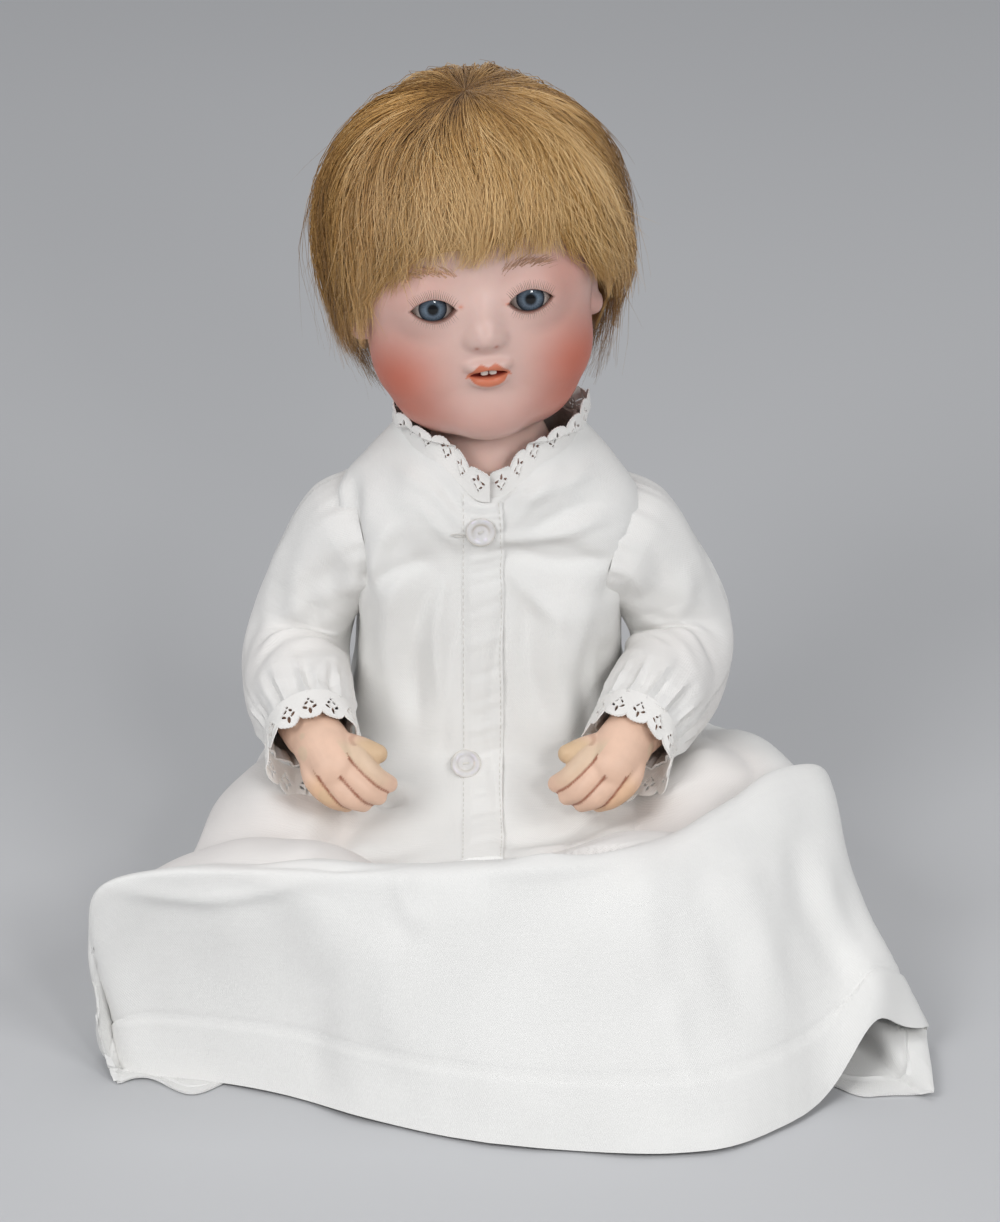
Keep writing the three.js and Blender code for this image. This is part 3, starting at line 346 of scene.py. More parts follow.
mottle, given, wanted = start_group(
    "soft_mottle",
    [("Vector", "vector", None), ("Scale", "value", 40.0), ("Low", "value", 0.9), ("High", "value", 1.05)],
    [("Shade", "value"), ("Grain", "value")],
)
broad = add_node(mottle, "ShaderNodeTexNoise", Vector=given["Vector"], Scale=given["Scale"], Detail=3.0).outputs[0]
finer = maths(mottle, "MULTIPLY", given["Scale"], 14.0)
grain = add_node(mottle, "ShaderNodeTexNoise", Vector=given["Vector"], Scale=finer).outputs[0]
spread = add_node(mottle, "ShaderNodeMapRange", i0=broad, i1=0.3, i2=0.7, i3=given["Low"], i4=given["High"])
mottle.links.new(spread.outputs[0], wanted["Shade"])
mottle.links.new(grain, wanted["Grain"])

weave, given, wanted = start_group(
    "plain_weave", [("Place", "vector", None), ("Threads", "value", 2.6)], [("Height", "value"), ("Slub", "value")],
)
across, along = add_node(weave, "ShaderNodeSeparateXYZ", Vector=given["Place"]).outputs[:2]
turn = maths(weave, "MULTIPLY", given["Threads"], math.pi)
warp, weft = (maths(weave, "SINE", maths(weave, "MULTIPLY", way, turn)) for way in (across, along))
long_way = add_node(weave, "ShaderNodeCombineXYZ", X=maths(weave, "MULTIPLY", across, 0.15), Y=along).outputs[0]
slub = add_node(weave, "ShaderNodeTexNoise", Vector=long_way, Scale=0.9, Detail=2.0).outputs[0]
weave.links.new(maths(weave, "MULTIPLY_ADD", maths(weave, "MULTIPLY", warp, weft), 0.5, 0.5), wanted["Height"])
weave.links.new(slub, wanted["Slub"])


def mottled(tree, sockets, colour, scale, low=0.9, high=1.05):
    """Gives a material a mottled base colour, and returns what the mottle puts out."""
    place = add_node(tree, "ShaderNodeTexCoord").outputs["Object"]
    worn = use_group(tree, mottle, Vector=place, Scale=scale, Low=low, High=high)
    tree.links.new(mixed(tree, 1.0, colour, worn["Shade"], "MULTIPLY"), sockets["Base Color"])
    return worn


print("groups:", mottle.name, weave.name)

# %% The floor's finish
floor_look, tree, sockets = start_material("pale_floor", Roughness=0.7)
mottled(tree, sockets, (0.52, 0.525, 0.535, 1), 1.2, 0.97, 1.02)
floor_mesh.materials.append(floor_look)
print("floor:", floor_look.name)

# %% [markdown]
# ## The bisque head
# The head is fired clay: soft masses that run into each other, with crisp edges only at the lids and the
# mouth. Each mass is an ellipsoid with a softness, and the smooth union of them is one distance field.
# Rays from the axis find its surface, which is how the CAD solid was made, here with rings 0.4 mm apart.
# The field also says where the surface lies, so paint, lashes and hair can be put on it later.

# %% Masses of the head
NECK = np.array([0, 2, 146.6])
EYE_LINE, EYE_X, EYE_Y, EYE_R = 64, 15.5, -32.7, 8.4
MOUTH_Z, LIPS_Z = 40, 42.2
RAY_START, RAY_STEPS = 78.0, 26


def turned(x, y, z):
    return np.array(Matrix.Rotation(z, 3, "Z") @ Matrix.Rotation(y, 3, "Y") @ Matrix.Rotation(x, 3, "X"))


HEAD_TURN = turned(-0.087, -0.082, 0.087)


def head_to_world(points):
    return NECK + np.asarray(points) @ HEAD_TURN.T


def both_sides(x, *rest):
    return [(x, *rest), (-x, *rest)]


HEAD_MASSES = [  # middle, half sizes and softness, in mm from the neck ball's centre
    (0, 2, EYE_LINE + 12, 41, 46, 43, 6),
    (0, -8, EYE_LINE - 12, 36, 36, 38, 8),
    *both_sides(19, -20, EYE_LINE + 4, 17.5, 18, 19, 6),
    *both_sides(16.5, -20.5, MOUTH_Z + 4, 18.5, 18.5, 19, 6),
    (0, -12, MOUTH_Z - 10, 27, 26, 15, 6),
    (0, -29.5, MOUTH_Z - 12.5, 13.5, 11.5, 11, 6),
    *both_sides(13, -16, MOUTH_Z - 9, 14.5, 15, 13, 6),
    *both_sides(EYE_X, EYE_Y, EYE_LINE, EYE_R + 2.7, EYE_R + 2.6, EYE_R + 2.3, 4.5),
    (0, -41.5, EYE_LINE - 5, 4, 4.6, 7.5, 6),
    (0, -44.6, EYE_LINE - 9.6, 4.2, 4.4, 3.8, 3.5),
    *both_sides(3.8, -42.8, EYE_LINE - 10.4, 2.7, 3.2, 2.5, 2.5),
    (0, -42.6, LIPS_Z + 2.3, 7.4, 3.8, 2.7, 2),
    (0, -42.0, LIPS_Z - 2.7, 5.8, 3.8, 2.6, 2),
    (0, 0, 16, 17.5, 17.5, 30, 6),
    (0, 0, 0, 21, 21, 21, 3),
    *both_sides(37.6, 3, EYE_LINE - 8, 3.2, 7.2, 11, 1.6),
    *both_sides(38, 0.5, EYE_LINE - 15, 3.4, 4, 4.4, 1.2),
]
HOLLOWS = [
    (0, -48.2, LIPS_Z + 6.6, 1.3, 1.7, 2.2, 1.6),
    (0, -46.8, LIPS_Z - 7, 6, 1.9, 1.3, 1.8),
    *both_sides(41.2, 1.5, EYE_LINE - 7, 1.8, 3.4, 5.6, 1.0),
]


def mass_depth(points, x, y, z, rx, ry, rz):
    away = (points - (x, y, z)) / (rx, ry, rz)
    k0 = np.sqrt((away**2).sum(1))
    k1 = np.maximum(np.sqrt(((away / (rx, ry, rz)) ** 2).sum(1)), 1e-6)
    return k0 * (k0 - 1) / k1


def head_depth(points):
    """How far points (mm, from the neck ball's centre) lie outside the head's surface."""
    near = np.full(len(points), 1e3)
    for *mass, soft in HEAD_MASSES:
        d = mass_depth(points, *mass)
        h = np.maximum(soft - np.abs(near - d), 0) / soft
        near = np.minimum(near, d) - h * h * soft / 4
    for *hollow, soft in HOLLOWS:
        d = -mass_depth(points, *hollow)
        h = np.maximum(soft - np.abs(near - d), 0) / soft
        near = np.maximum(near, d) + h * h * soft / 4
    return near


def head_reach(start, towards, lift=0.0):
    """How far along each ray from start the head's surface, raised by lift, is met from outside."""
    r = np.full(len(towards), RAY_START)
    for _ in range(RAY_STEPS):
        r = np.maximum(r - 0.8 * (head_depth(start + towards * r[:, None]) - lift), 0.5)
    return r


def onto_face(x, z, lift=0.0):
    """Points on the front of the head, found from straight in front."""
    x, z = np.broadcast_arrays(np.asarray(x, float), np.asarray(z, float))
    start = np.stack([x.ravel(), np.full(x.size, 0.0), z.ravel()], 1)
    ahead = np.tile([0.0, -1.0, 0.0], (x.size, 1))
    return start + ahead * head_reach(start, ahead, lift)[:, None]


print("head of", len(HEAD_MASSES), "masses and", len(HOLLOWS), "hollows")

# %% Skin of the head, with the lids and the mouth cut through
COLUMNS = 300
EYE_WIDE, EYE_UP, EYE_DOWN = 14.4, 3.9, 3.7
LID_TILT, LID_LEAN = 0.2, -0.08
EYE_GAP = 0.25
LIP_SAG, LIP_HALF = 1.2, 7
CUT_FRONT = -60
levels = np.concatenate([
    np.linspace(-20.9, -6, 24)[:-1], np.linspace(-6, 22, 40)[:-1], np.linspace(22, 80, 138)[:-1],
    np.linspace(80, 112, 40)[:-1], 76 + 43 * np.sin(np.linspace(np.arcsin(36 / 43), math.pi / 2, 24)) - 0.02,
])
even = np.arange(COLUMNS) / COLUMNS * 2 * math.pi
angle = even - 0.5 * np.sin(even)
facing = np.stack([np.sin(angle), -np.cos(angle), np.zeros(COLUMNS)], 1)
rays = np.tile(facing, (len(levels), 1))
axis = np.zeros((len(levels) * COLUMNS, 3))
axis[:, 2] = np.repeat(levels, COLUMNS)
axis[:, 1] = 2 * smoothstep(60, 100, axis[:, 2])
skin = axis + rays * head_reach(axis, rays)[:, None]
ends = np.array([skin[:COLUMNS].mean(0), skin[-COLUMNS:].mean(0)])


def lid_arc(t, lean):
    """The height of an arc from corner to corner, with its fullest place moved by lean."""
    return np.clip(1 - t**2, 0, 1) ** 0.85 * (1 + lean * t)


def almond_outline(wide, up, down, count, tilt=0.0, lean=0.0):
    """A lid-shaped outline: two arcs that meet in the corners."""
    t = np.linspace(-1, 1, count)
    shape = lid_arc(t, lean)
    top = np.stack([t * wide / 2, up * shape + tilt * t], 1)
    low = np.stack([t * wide / 2, -down * shape + tilt * t], 1)[::-1][1:-1]
    return np.concatenate([top, low])


def cutter(name, outline, x, z, behind):
    """A prism across the face, wider in front so that the cut edge is slightly eased."""
    def ring(y, grow):
        return np.stack([x + outline[:, 0] * grow, np.full(len(outline), y), z + outline[:, 1] * grow], 1)

    middles = [[x, behind, z], [x, CUT_FRONT, z]]
    body = np.concatenate([ring(behind, 1), ring(-47, 1), ring(CUT_FRONT, 1.15), middles])
    return make_piece(name, body, capped_faces(3, len(outline)), closed=True)


def ball_points(rings, sides, girth=1.0, height=1.0):
    """Rings and two poles of a unit ball. Powers under 1 make it squarer round or upward."""
    def squared(v, power):
        return np.sign(v) * np.abs(v) ** power

    t = np.linspace(0, math.pi, rings)[1:-1, None]
    a = np.arange(sides) / sides * 2 * math.pi
    wide, high = squared(np.sin(t), girth), squared(np.cos(t), height) * np.ones(sides)
    ball = np.stack([wide * squared(np.cos(a), girth), wide * squared(np.sin(a), girth), high], -1)
    return np.concatenate([ball.reshape(-1, 3), [[0, 0, 1], [0, 0, -1]]])


def round_ball(name, middle, radius, rings=40, sides=64):
    return make_piece(name, ball_points(rings, sides) * radius + middle, capped_faces(rings - 2, sides), closed=True)


def carve(piece, tools):
    for tool in tools:
        cut = piece.modifiers.new("cut", "BOOLEAN")
        cut.operation = "DIFFERENCE"
        cut.solver = "MANIFOLD"
        cut.object = tool
    finish_shape(piece)
    for tool in tools:
        bpy.data.meshes.remove(tool.data)


head = make_piece("bisque_head", np.concatenate([skin, ends]), capped_faces(len(levels), COLUMNS), closed=True)
mouth = almond_outline(12.4, 1.5, 1.6, 30)
mouth[:, 1] -= LIP_SAG * (mouth[:, 0] / LIP_HALF) ** 2
tools = [cutter("mouth_cut", mouth, 0, LIPS_Z, -40.2)]
for side in (-1, 1):
    lids = almond_outline(EYE_WIDE, EYE_UP, EYE_DOWN, 44, LID_TILT * side, LID_LEAN * side)
    tools += [round_ball(f"socket_{side}", (side * EYE_X, EYE_Y, EYE_LINE), EYE_R + EYE_GAP)]
    tools += [cutter(f"lids_{side}", lids, side * EYE_X, EYE_LINE, EYE_Y)]
carve(head, tools)
on_head = points_of(head)
print("head:", len(head.data.polygons), "faces")

# %% [markdown]
# ## Painting the face
# The factory tinted the clay, brushed a strong blush on the cheeks, and painted coral lips, red dots at the
# nostrils and the inner corners of the eyes. Painted shade darkens the lid creases, the eye sockets and, with
# the painted lining, the lid rims. Painted light makes the neck paler. The skin has a point every 0.4 mm, so
# this paint is one colour for each point, worked out from where the point lies on the head.

# %% Colours on the skin
PALE = np.array([0.685, 0.475, 0.42])
# painted light: the neck is made paler against the shade under the chin
NECK_PAINTED_LIGHT = np.array([0.82, 0.56, 0.48])
BLUSH = np.array([0.54, 0.15, 0.095])
CORAL = np.array([0.60, 0.185, 0.10])
DOT_RED = np.array([0.70, 0.19, 0.09])
NOSTRIL = np.array([0.42, 0.13, 0.09])
# the lid rims: partly their painted lining, partly painted shade at the edge and on the cut walls
LID_LINE_AND_SHADE = np.array([0.16, 0.07, 0.05])
# painted shade in the crease over each upper lid
LID_CREASE_SHADE = np.array([0.62, 0.36, 0.30])
MOUTH_RED = np.array([0.30, 0.035, 0.025])
# painted shade: dark brown deep in the eye sockets
SOCKET_SHADE = np.array([0.22, 0.09, 0.065])


def blend_in(colours, tint, share):
    return colours + (tint - colours) * np.clip(share, 0, 1)[:, None]


def spot(p, x, z, wide, high):
    return np.exp(-(((p[:, 0] - x) / wide) ** 2) - ((p[:, 2] - z) / high) ** 2)


def lip_share(p):
    a = np.abs(p[:, 0])
    dz = p[:, 2] - LIPS_Z + LIP_SAG * (a / LIP_HALF) ** 2
    arch = 3.2 * np.clip(1 - (a / 7.2) ** 2, 0, 1) ** 0.7 + 0.75 * bump(a - 2.7, 1.6) - 0.6 * bump(a, 1.2)
    bowl = 4.2 * np.clip(1 - (a / 6.1) ** 2, 0, 1) ** 0.6
    upper = smoothstep(-0.2, 0.2, arch - dz) * smoothstep(-0.9, -0.2, dz) * (a < 7.2)
    lower = smoothstep(-0.2, 0.2, bowl + dz) * smoothstep(0.6, 0.0, dz) * (a < 6.1)
    return np.maximum(upper, lower)


def flush_share(p):
    """Blush on the cheeks, and fainter at the temples, over the eyes and on the chin."""
    a = np.stack([np.abs(p[:, 0]), p[:, 1], p[:, 2]], 1)
    cheeks = smoothstep(4, 30, a[:, 0]) * smoothstep(EYE_LINE, EYE_LINE - 24, a[:, 2]) * smoothstep(2, 30, a[:, 2])
    temples = np.where(p[:, 0] > 0, 0.4, 0.25) * spot(a, 28, EYE_LINE + 4, 9, 13)
    return 0.97 * cheeks + (temples + 0.16 * spot(a, EYE_X, EYE_LINE + 8, 9, 3.5)) + 0.28 * spot(a, 0, 24, 20, 9)


def skin_colours(p):
    ahead = smoothstep(-2, -20, p[:, 1])
    colours = blend_in(np.tile(PALE, (len(p), 1)), BLUSH, flush_share(p) * (0.35 + 0.65 * ahead))
    # painted light on the neck, against the shade under the chin
    colours = blend_in(colours, NECK_PAINTED_LIGHT, 0.8 * smoothstep(22, 12, p[:, 2]))
    lips = lip_share(p) * smoothstep(-37, -39, p[:, 1])
    colours = blend_in(colours, CORAL * np.where(p[:, 2] < LIPS_Z, 1.06, 0.96)[:, None], lips)
    for x in (-3.1, 3.1):
        colours = blend_in(colours, NOSTRIL, 0.85 * spot(p, x, EYE_LINE - 12.7, 0.75, 0.6) * ahead)
    for x, z in ((-6.8, EYE_LINE + 0.8), (8.0, EYE_LINE + 0.1)):
        colours = blend_in(colours, DOT_RED, 0.9 * spot(p, x, z, 0.65, 0.45) * ahead)
    for side in (-1, 1):
        t = (p[:, 0] - side * EYE_X) / (EYE_WIDE / 2)
        shape = lid_arc(t, LID_LEAN * side)
        dz = p[:, 2] - EYE_LINE - LID_TILT * side * t
        off = np.where(dz > 0, dz - EYE_UP * shape, -dz - EYE_DOWN * shape)
        off = np.where(np.abs(t) > 1, np.maximum(off, (np.abs(t) - 1) * EYE_WIDE / 2), off)
        # the lid rims: painted lining and painted shade together
        colours = blend_in(colours, LID_LINE_AND_SHADE, 0.75 * smoothstep(0.62, 0.12, off) * (off > -1.5) * ahead)
        # painted shade in the lid crease
        colours = blend_in(colours, LID_CREASE_SHADE, 0.35 * bump(off - 1.6, 0.8) * (dz > 0) * ahead)
    within = smoothstep(-0.25, -1.0, head_depth(p)) * ahead
    in_mouth = bump(p[:, 0], 9) * bump(p[:, 2] - LIPS_Z, 4)
    colours = blend_in(colours, MOUTH_RED, within * (in_mouth > 0.2))
    # painted shade deep in the eye sockets
    return blend_in(colours, SOCKET_SHADE, within * (in_mouth <= 0.2))


paint(head, "paint", skin_colours(on_head))
set_points(head, head_to_world(on_head))

bisque, tree, sockets = start_material(
    "tinted_bisque", Subsurface_Weight=0.1, Subsurface_Scale=0.002, Specular_IOR_Level=0.4,
)
worn = mottled(tree, sockets, attribute(tree, "paint"), 70.0, 0.96, 1.03)
tree.links.new(maths(tree, "MULTIPLY_ADD", worn["Grain"], 0.16, 0.34), sockets["Roughness"])
tree.links.new(raised(tree, worn["Grain"], 0.00006, 0.5), sockets["Normal"])
head.data.materials.append(bisque)
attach(head, "head")
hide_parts("head_shell")
print("painted points:", len(on_head))

# %% [markdown]
# ## Strands: lashes, brows and hair
# A painted lash, a brow stroke and a lock of hair are all a tapering line. Each is drawn as a row of points
# joined by edges, and one Geometry Nodes tree sweeps a small round section along every row. The taper is
# an attribute on the points, so the tree needs only the number of sides, the thickness and the finish.

# %% The tree that sweeps strands
def start_geometry(name, first, output, **inputs):
    """A Geometry Nodes tree with its first geometry, its other inputs and a finish."""
    tree = bpy.data.node_groups.new(name, "GeometryNodeTree")
    for label, kind in {first: "Geometry", **inputs, "Finish": "Material"}.items():
        tree.interface.new_socket(label, in_out="INPUT", socket_type="NodeSocket" + kind)
    tree.interface.new_socket(output, in_out="OUTPUT", socket_type="NodeSocketGeometry")
    return tree, tree.nodes.new("NodeGroupInput").outputs


def end_geometry(tree, given, made):
    """Gives what the tree made its finish, and puts it out."""
    dressed = add_node(tree, "GeometryNodeSetMaterial", Geometry=made, Material=given["Finish"]).outputs[0]
    tree.links.new(dressed, tree.nodes.new("NodeGroupOutput").inputs[0])
    return tree


def strand_tree():
    tree, given = start_geometry("sweep_strands", "Rows", "Strands", Sides="Int", Thickness="Float")
    rows = add_node(tree, "GeometryNodeMeshToCurve", i0=given["Rows"]).outputs[0]
    taper = add_node(tree, "GeometryNodeInputNamedAttribute", {"data_type": "FLOAT"}, Name="taper").outputs[0]
    radius = maths(tree, "MULTIPLY", taper, given["Thickness"])
    section = add_node(tree, "GeometryNodeCurvePrimitiveCircle", Resolution=given["Sides"], Radius=1.0).outputs[0]
    sweep = add_node(tree, "GeometryNodeCurveToMesh", Curve=rows, Profile_Curve=section, Scale=radius, Fill_Caps=True)
    soft = add_node(tree, "GeometryNodeSetShadeSmooth", Geometry=sweep.outputs[0]).outputs[0]
    return end_geometry(tree, given, soft)


STRANDS = strand_tree()


def run_tree(piece, tree, **inputs):
    """Gives a tree its named inputs, runs it and leaves a plain mesh."""
    step = piece.modifiers.new(tree.name, "NODES")
    step.node_group = tree
    for item in tree.interface.items_tree:
        if item.in_out == "INPUT" and item.name in inputs:
            step[item.identifier] = inputs[item.name]
    finish_shape(piece)
    return piece


def sweep_strands(name, paths, tapers, colours, sides, thickness, finish):
    """Strands along paths (strands, points, 3) in mm; tapers and colours go with the points."""
    strands, count = paths.shape[:2]
    first = np.arange(strands)[:, None] * count + np.arange(count - 1)
    edges = np.stack([first, first + 1], -1).reshape(-1, 2)
    piece = new_piece(name, paths.reshape(-1, 3), edges=edges.tolist())
    layer = piece.data.attributes.new("taper", "FLOAT", "POINT")
    layer.data.foreach_set("value", tapers.astype(np.float32).ravel())
    paint(piece, "paint", colours.reshape(-1, 3))
    return run_tree(piece, STRANDS, Sides=sides, Thickness=thickness * MM, Finish=finish)


print("tree:", STRANDS.name)

# %% Lashes and brows
LASH = np.array([0.30, 0.20, 0.16])
BROW = np.array([0.46, 0.27, 0.175])
STEPS = np.linspace(0, 1, 7)
paint_line, tree, sockets = start_material("china_paint", Roughness=0.5)
mottled(tree, sockets, attribute(tree, "paint"), 300.0)
strokes, tapers, tints = [], [], []


def lid_edge(t, side, height):
    return side * EYE_X + t * EYE_WIDE / 2, EYE_LINE + height * lid_arc(t, LID_LEAN * side) + LID_TILT * side * t


def stroke(x, z, dx, dz, curl, wide, tint):
    bend = curl * STEPS**2
    strokes.append(onto_face(x + dx * STEPS + bend * np.sign(dx), z + dz * STEPS, 0.02))
    tapers.append(wide * (1 - 0.85 * STEPS))
    tints.append(np.tile(tint, (len(STEPS), 1)))


for side in (-1, 1):
    for t in np.linspace(-0.86, 0.92, 26):
        x, z = lid_edge(t, side, EYE_UP)
        slant = 1.5 * t + rng.normal(0, 0.12)
        long = 2.0 + 0.5 * (1 - t**2) + rng.normal(0, 0.15)
        stroke(x, z + 0.5, slant, long, 0.3, 0.12, LASH * rng.uniform(0.6, 1.0))
    for t in np.linspace(-0.8, 0.9, 20):
        x, z = lid_edge(t, side, -EYE_DOWN)
        slant = 1.1 * t + rng.normal(0, 0.15)
        long = -1.7 - rng.uniform(0, 0.5)
        stroke(x, z - 0.45, slant, long, 0.2, 0.07, LASH * rng.uniform(0.7, 1.15))
    for t in np.linspace(0, 1, 110):
        x = side * (EYE_X - 8.5 + 15.5 * t)
        z = EYE_LINE + 10.2 + 2.6 * math.sin(2.2 * t + 0.3) - 1.2 * t + rng.normal(0, 0.75)
        tint = BROW * rng.uniform(0.75, 1.3) * (1.0 if side > 0 else 1.25)
        rise = 1.7 * (1 - 0.9 * t) + rng.normal(0, 0.2)
        stroke(x, z, side * (1.0 + 2.2 * t), rise, 0.4, 0.22 * math.sin(0.35 + 2.5 * t), tint)
paths = head_to_world(np.array(strokes))
looks = {"sides": 4, "thickness": 1.0, "finish": paint_line}
lines = sweep_strands("painted_lashes_and_brows", paths, np.array(tapers), np.array(tints), **looks)
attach(lines, "head")
print("painted strokes:", len(strokes))

# %% [markdown]
# ## Glass eyes and teeth
# A blown glass eye is a white ball with a threaded iris under clear glass. The ball's points carry their
# own direction, measured from the gaze, so that the finish can draw the pupil, the iris and its threads,
# painted shade that dims the white and browns it toward the corners, and the flesh-coloured lid that comes
# down when the doll is laid on its back.

# %% Eyes
PUPIL, IRIS = 0.18, 0.53
LID_LOW, LID_BACK = 0.63, 2.6
LID_FLESH = (0.72, 0.44, 0.36, 1)
eye_look, tree, sockets = start_material(
    "blown_glass_eye", Roughness=0.1, Specular_IOR_Level=0.12, Coat_Weight=0.6, Coat_Roughness=0.02,
)
axes = add_node(tree, "ShaderNodeSeparateXYZ", Vector=attribute(tree, "gaze")).outputs
sideways, forwards, upwards = (maths(tree, "MULTIPLY_ADD", axes[k], 2.0, -1.0) for k in range(3))
across, height = (maths(tree, "POWER", way, 2.0) for way in (sideways, upwards))
radius = maths(tree, "SQRT", maths(tree, "ADD", across, height))
around = maths(tree, "MULTIPLY", maths(tree, "ARCTAN2", upwards, sideways), 7.0)
threads_at = add_node(tree, "ShaderNodeCombineXYZ", X=around, Y=maths(tree, "MULTIPLY", radius, 3.0)).outputs[0]
threads = add_node(tree, "ShaderNodeTexNoise", Vector=threads_at, Scale=2.2, Detail=4.0).outputs[0]
# painted shade: the white is dimmed, and browned toward the corners under the lids
eye_rings_and_shade = ramp(tree, radius, [
    (0.0, (0.003, 0.003, 0.004)), (0.165, (0.003, 0.003, 0.004)), (0.2, (0.03, 0.042, 0.055)),
    (0.29, (0.135, 0.185, 0.24)), (0.41, (0.10, 0.138, 0.18)), (0.485, (0.045, 0.06, 0.08)),
    (0.525, (0.018, 0.024, 0.032)), (0.555, (0.60, 0.56, 0.53)), (0.7, (0.58, 0.50, 0.44)), (0.9, (0.42, 0.28, 0.2)),
])


def between(value, low, high):
    return maths(tree, "MULTIPLY", maths(tree, "GREATER_THAN", value, low), maths(tree, "LESS_THAN", value, high))


streak = maths(tree, "MULTIPLY_ADD", threads, 1.5, 0.25)
glass_colour_and_shade = mixed(tree, between(radius, PUPIL, IRIS), eye_rings_and_shade, mixed(tree, 1.0, eye_rings_and_shade, streak, "MULTIPLY"))
lid = between(maths(tree, "ARCTAN2", upwards, forwards), LID_LOW, LID_BACK)
tree.links.new(mixed(tree, lid, glass_colour_and_shade, LID_FLESH), sockets["Base Color"])

for side, name in SIDES:
    middle = np.array([side * EYE_X, EYE_Y, EYE_LINE])
    eye = round_ball(f"{name}_glass_eye", (0, 0, 0), EYE_R, 60, 72)
    ball = points_of(eye)[:, [0, 2, 1]] * (1, -1, 1)
    paint(eye, "gaze", ball * (1, -1, 1) / EYE_R * 0.5 + 0.5)
    set_points(eye, head_to_world(ball + middle))
    eye.data.materials.append(eye_look)
    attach(eye, "eyes")
    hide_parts(f"{name}_eye")
    print(eye.name, len(eye.data.polygons), "faces")

# %% Teeth
TOOTH_RINGS, TOOTH_SIDES = 15, 20
TOOTH_SIZE = (1.25, 0.9, 1.0)
tooth_look, tree, sockets = start_material("glazed_tooth", Roughness=0.2, Coat_Weight=0.5)
mottled(tree, sockets, (0.66, 0.60, 0.54, 1), 500.0, 0.93, 1.02)
tooth = ball_points(TOOTH_RINGS, TOOTH_SIDES, 0.6, 0.7)
faces = capped_faces(TOOTH_RINGS - 2, TOOTH_SIDES)
two = np.concatenate([tooth * TOOTH_SIZE + (side * 1.35, -43.6, LIPS_Z + 0.4) for side in (-1, 1)])
faces = [[k + start for k in face] for start in (0, len(tooth)) for face in faces]
teeth = make_piece("two_upper_teeth", head_to_world(two), faces, tooth_look, closed=True)
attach(teeth, "head")
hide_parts("upper_teeth")
print("eyes and teeth made")

# %% [markdown]
# ## The gown
# The gown is one long tube of white cotton: it fits the body loosely to the waist, runs forward over the
# lap, rides up over the feet in a ridge and falls to the floor. Its under layer lies on the floor. Rows of
# seven numbers describe the tube from the neck to the hem: the front line, the back line, how far it reaches
# to each side and how square its section is. A smooth curve through the rows gives a fine sheet.

# %% Rows of the gown, and the legs that it lies on
SEAT_Z, HIP_Z, LAP_Z, SHOULDER_Z = 1.6, 28.6, 49.0, 115.6
TORSO_HEIGHT, BODY_SIZES = 139, (39, 33, 33)
LAP_GAP, LAP_SOFT = 5.6, 3.2
LEG_STEPS = 12
SHOULDER_X, HIP_X, LEG_REACH, FOOT_SPREAD = 35.94, 36.94, 116, 36
TORSO_FORM = np.array([  # height, half width, front and back, each as a share
    [0, 0.55, 0.5, 0.55], [0.05, 0.8, 0.77, 0.82], [0.13, 0.95, 0.93, 1], [0.22, 1, 0.99, 1.04],
    [0.34, 1.01, 1.05, 1.02], [0.48, 1, 1.08, 0.95], [0.62, 0.97, 0.99, 0.9], [0.75, 0.96, 0.89, 0.9],
    [0.84, 0.96, 0.8, 0.85], [0.92, 0.82, 0.72, 0.77], [1, 0.618, 0.73, 0.73],
])


def torso_at(z):
    share = (z - SEAT_Z) / TORSO_HEIGHT
    return [np.interp(share, TORSO_FORM[:, 0], TORSO_FORM[:, k + 1]) * size for k, size in enumerate(BODY_SIZES)]


LEGS = {  # middle lines from hip to ankle
    1: [
        (HIP_X + 6, 0, HIP_Z), (HIP_X + 25, -30, HIP_Z + 6),
        (HIP_X + FOOT_SPREAD + 2, -LEG_REACH * 0.48, HIP_Z + 9), (HIP_X + 30, -LEG_REACH * 0.72, HIP_Z + 1),
        (HIP_X + FOOT_SPREAD * 0.45, -LEG_REACH * 0.965, HIP_Z - 9),
    ],
    -1: [
        (-HIP_X - 6, 0, HIP_Z), (-HIP_X - 24, -34, HIP_Z + 3),
        (-HIP_X - FOOT_SPREAD + 1, -LEG_REACH * 0.57, HIP_Z + 2),
        (-HIP_X - FOOT_SPREAD - 3, -LEG_REACH * 0.78, HIP_Z - 3),
        (-HIP_X - FOOT_SPREAD - 1, -LEG_REACH, HIP_Z - 10),
    ],
}
leg_marks = []  # balls that the cloth rests on: middle, radius and how far each spreads
for side, path in LEGS.items():
    radii = curve_through(np.array([17, 16.5, 15, 13.5, 9.5])[:, None], LEG_STEPS)[:, 0]
    leg_marks += [(*p, r, 2.4) for p, r in zip(curve_through(path, LEG_STEPS), radii)]
    ankle = np.array(path[-1])
    heel = np.array([ankle[0] - 2 * side, ankle[1] - 6, 12])
    leg_marks += [(*(heel + t * np.array([-2 * side, -11, 46])), 9 - 3 * t, 9.0) for t in (0, 0.35, 0.7, 1)]
leg_marks = np.array(leg_marks)


def lap_height(x, y):
    """The height at which cloth rests on the legs and feet, rounded over between them."""
    total = np.zeros_like(x)
    for mx, my, mz, r, spread in leg_marks:
        lift = r + LAP_GAP
        total += np.exp((mz + lift - ((x - mx) ** 2 + (y - my) ** 2) / (spread * lift)) / LAP_SOFT)
    return LAP_SOFT * np.log(total + 1)


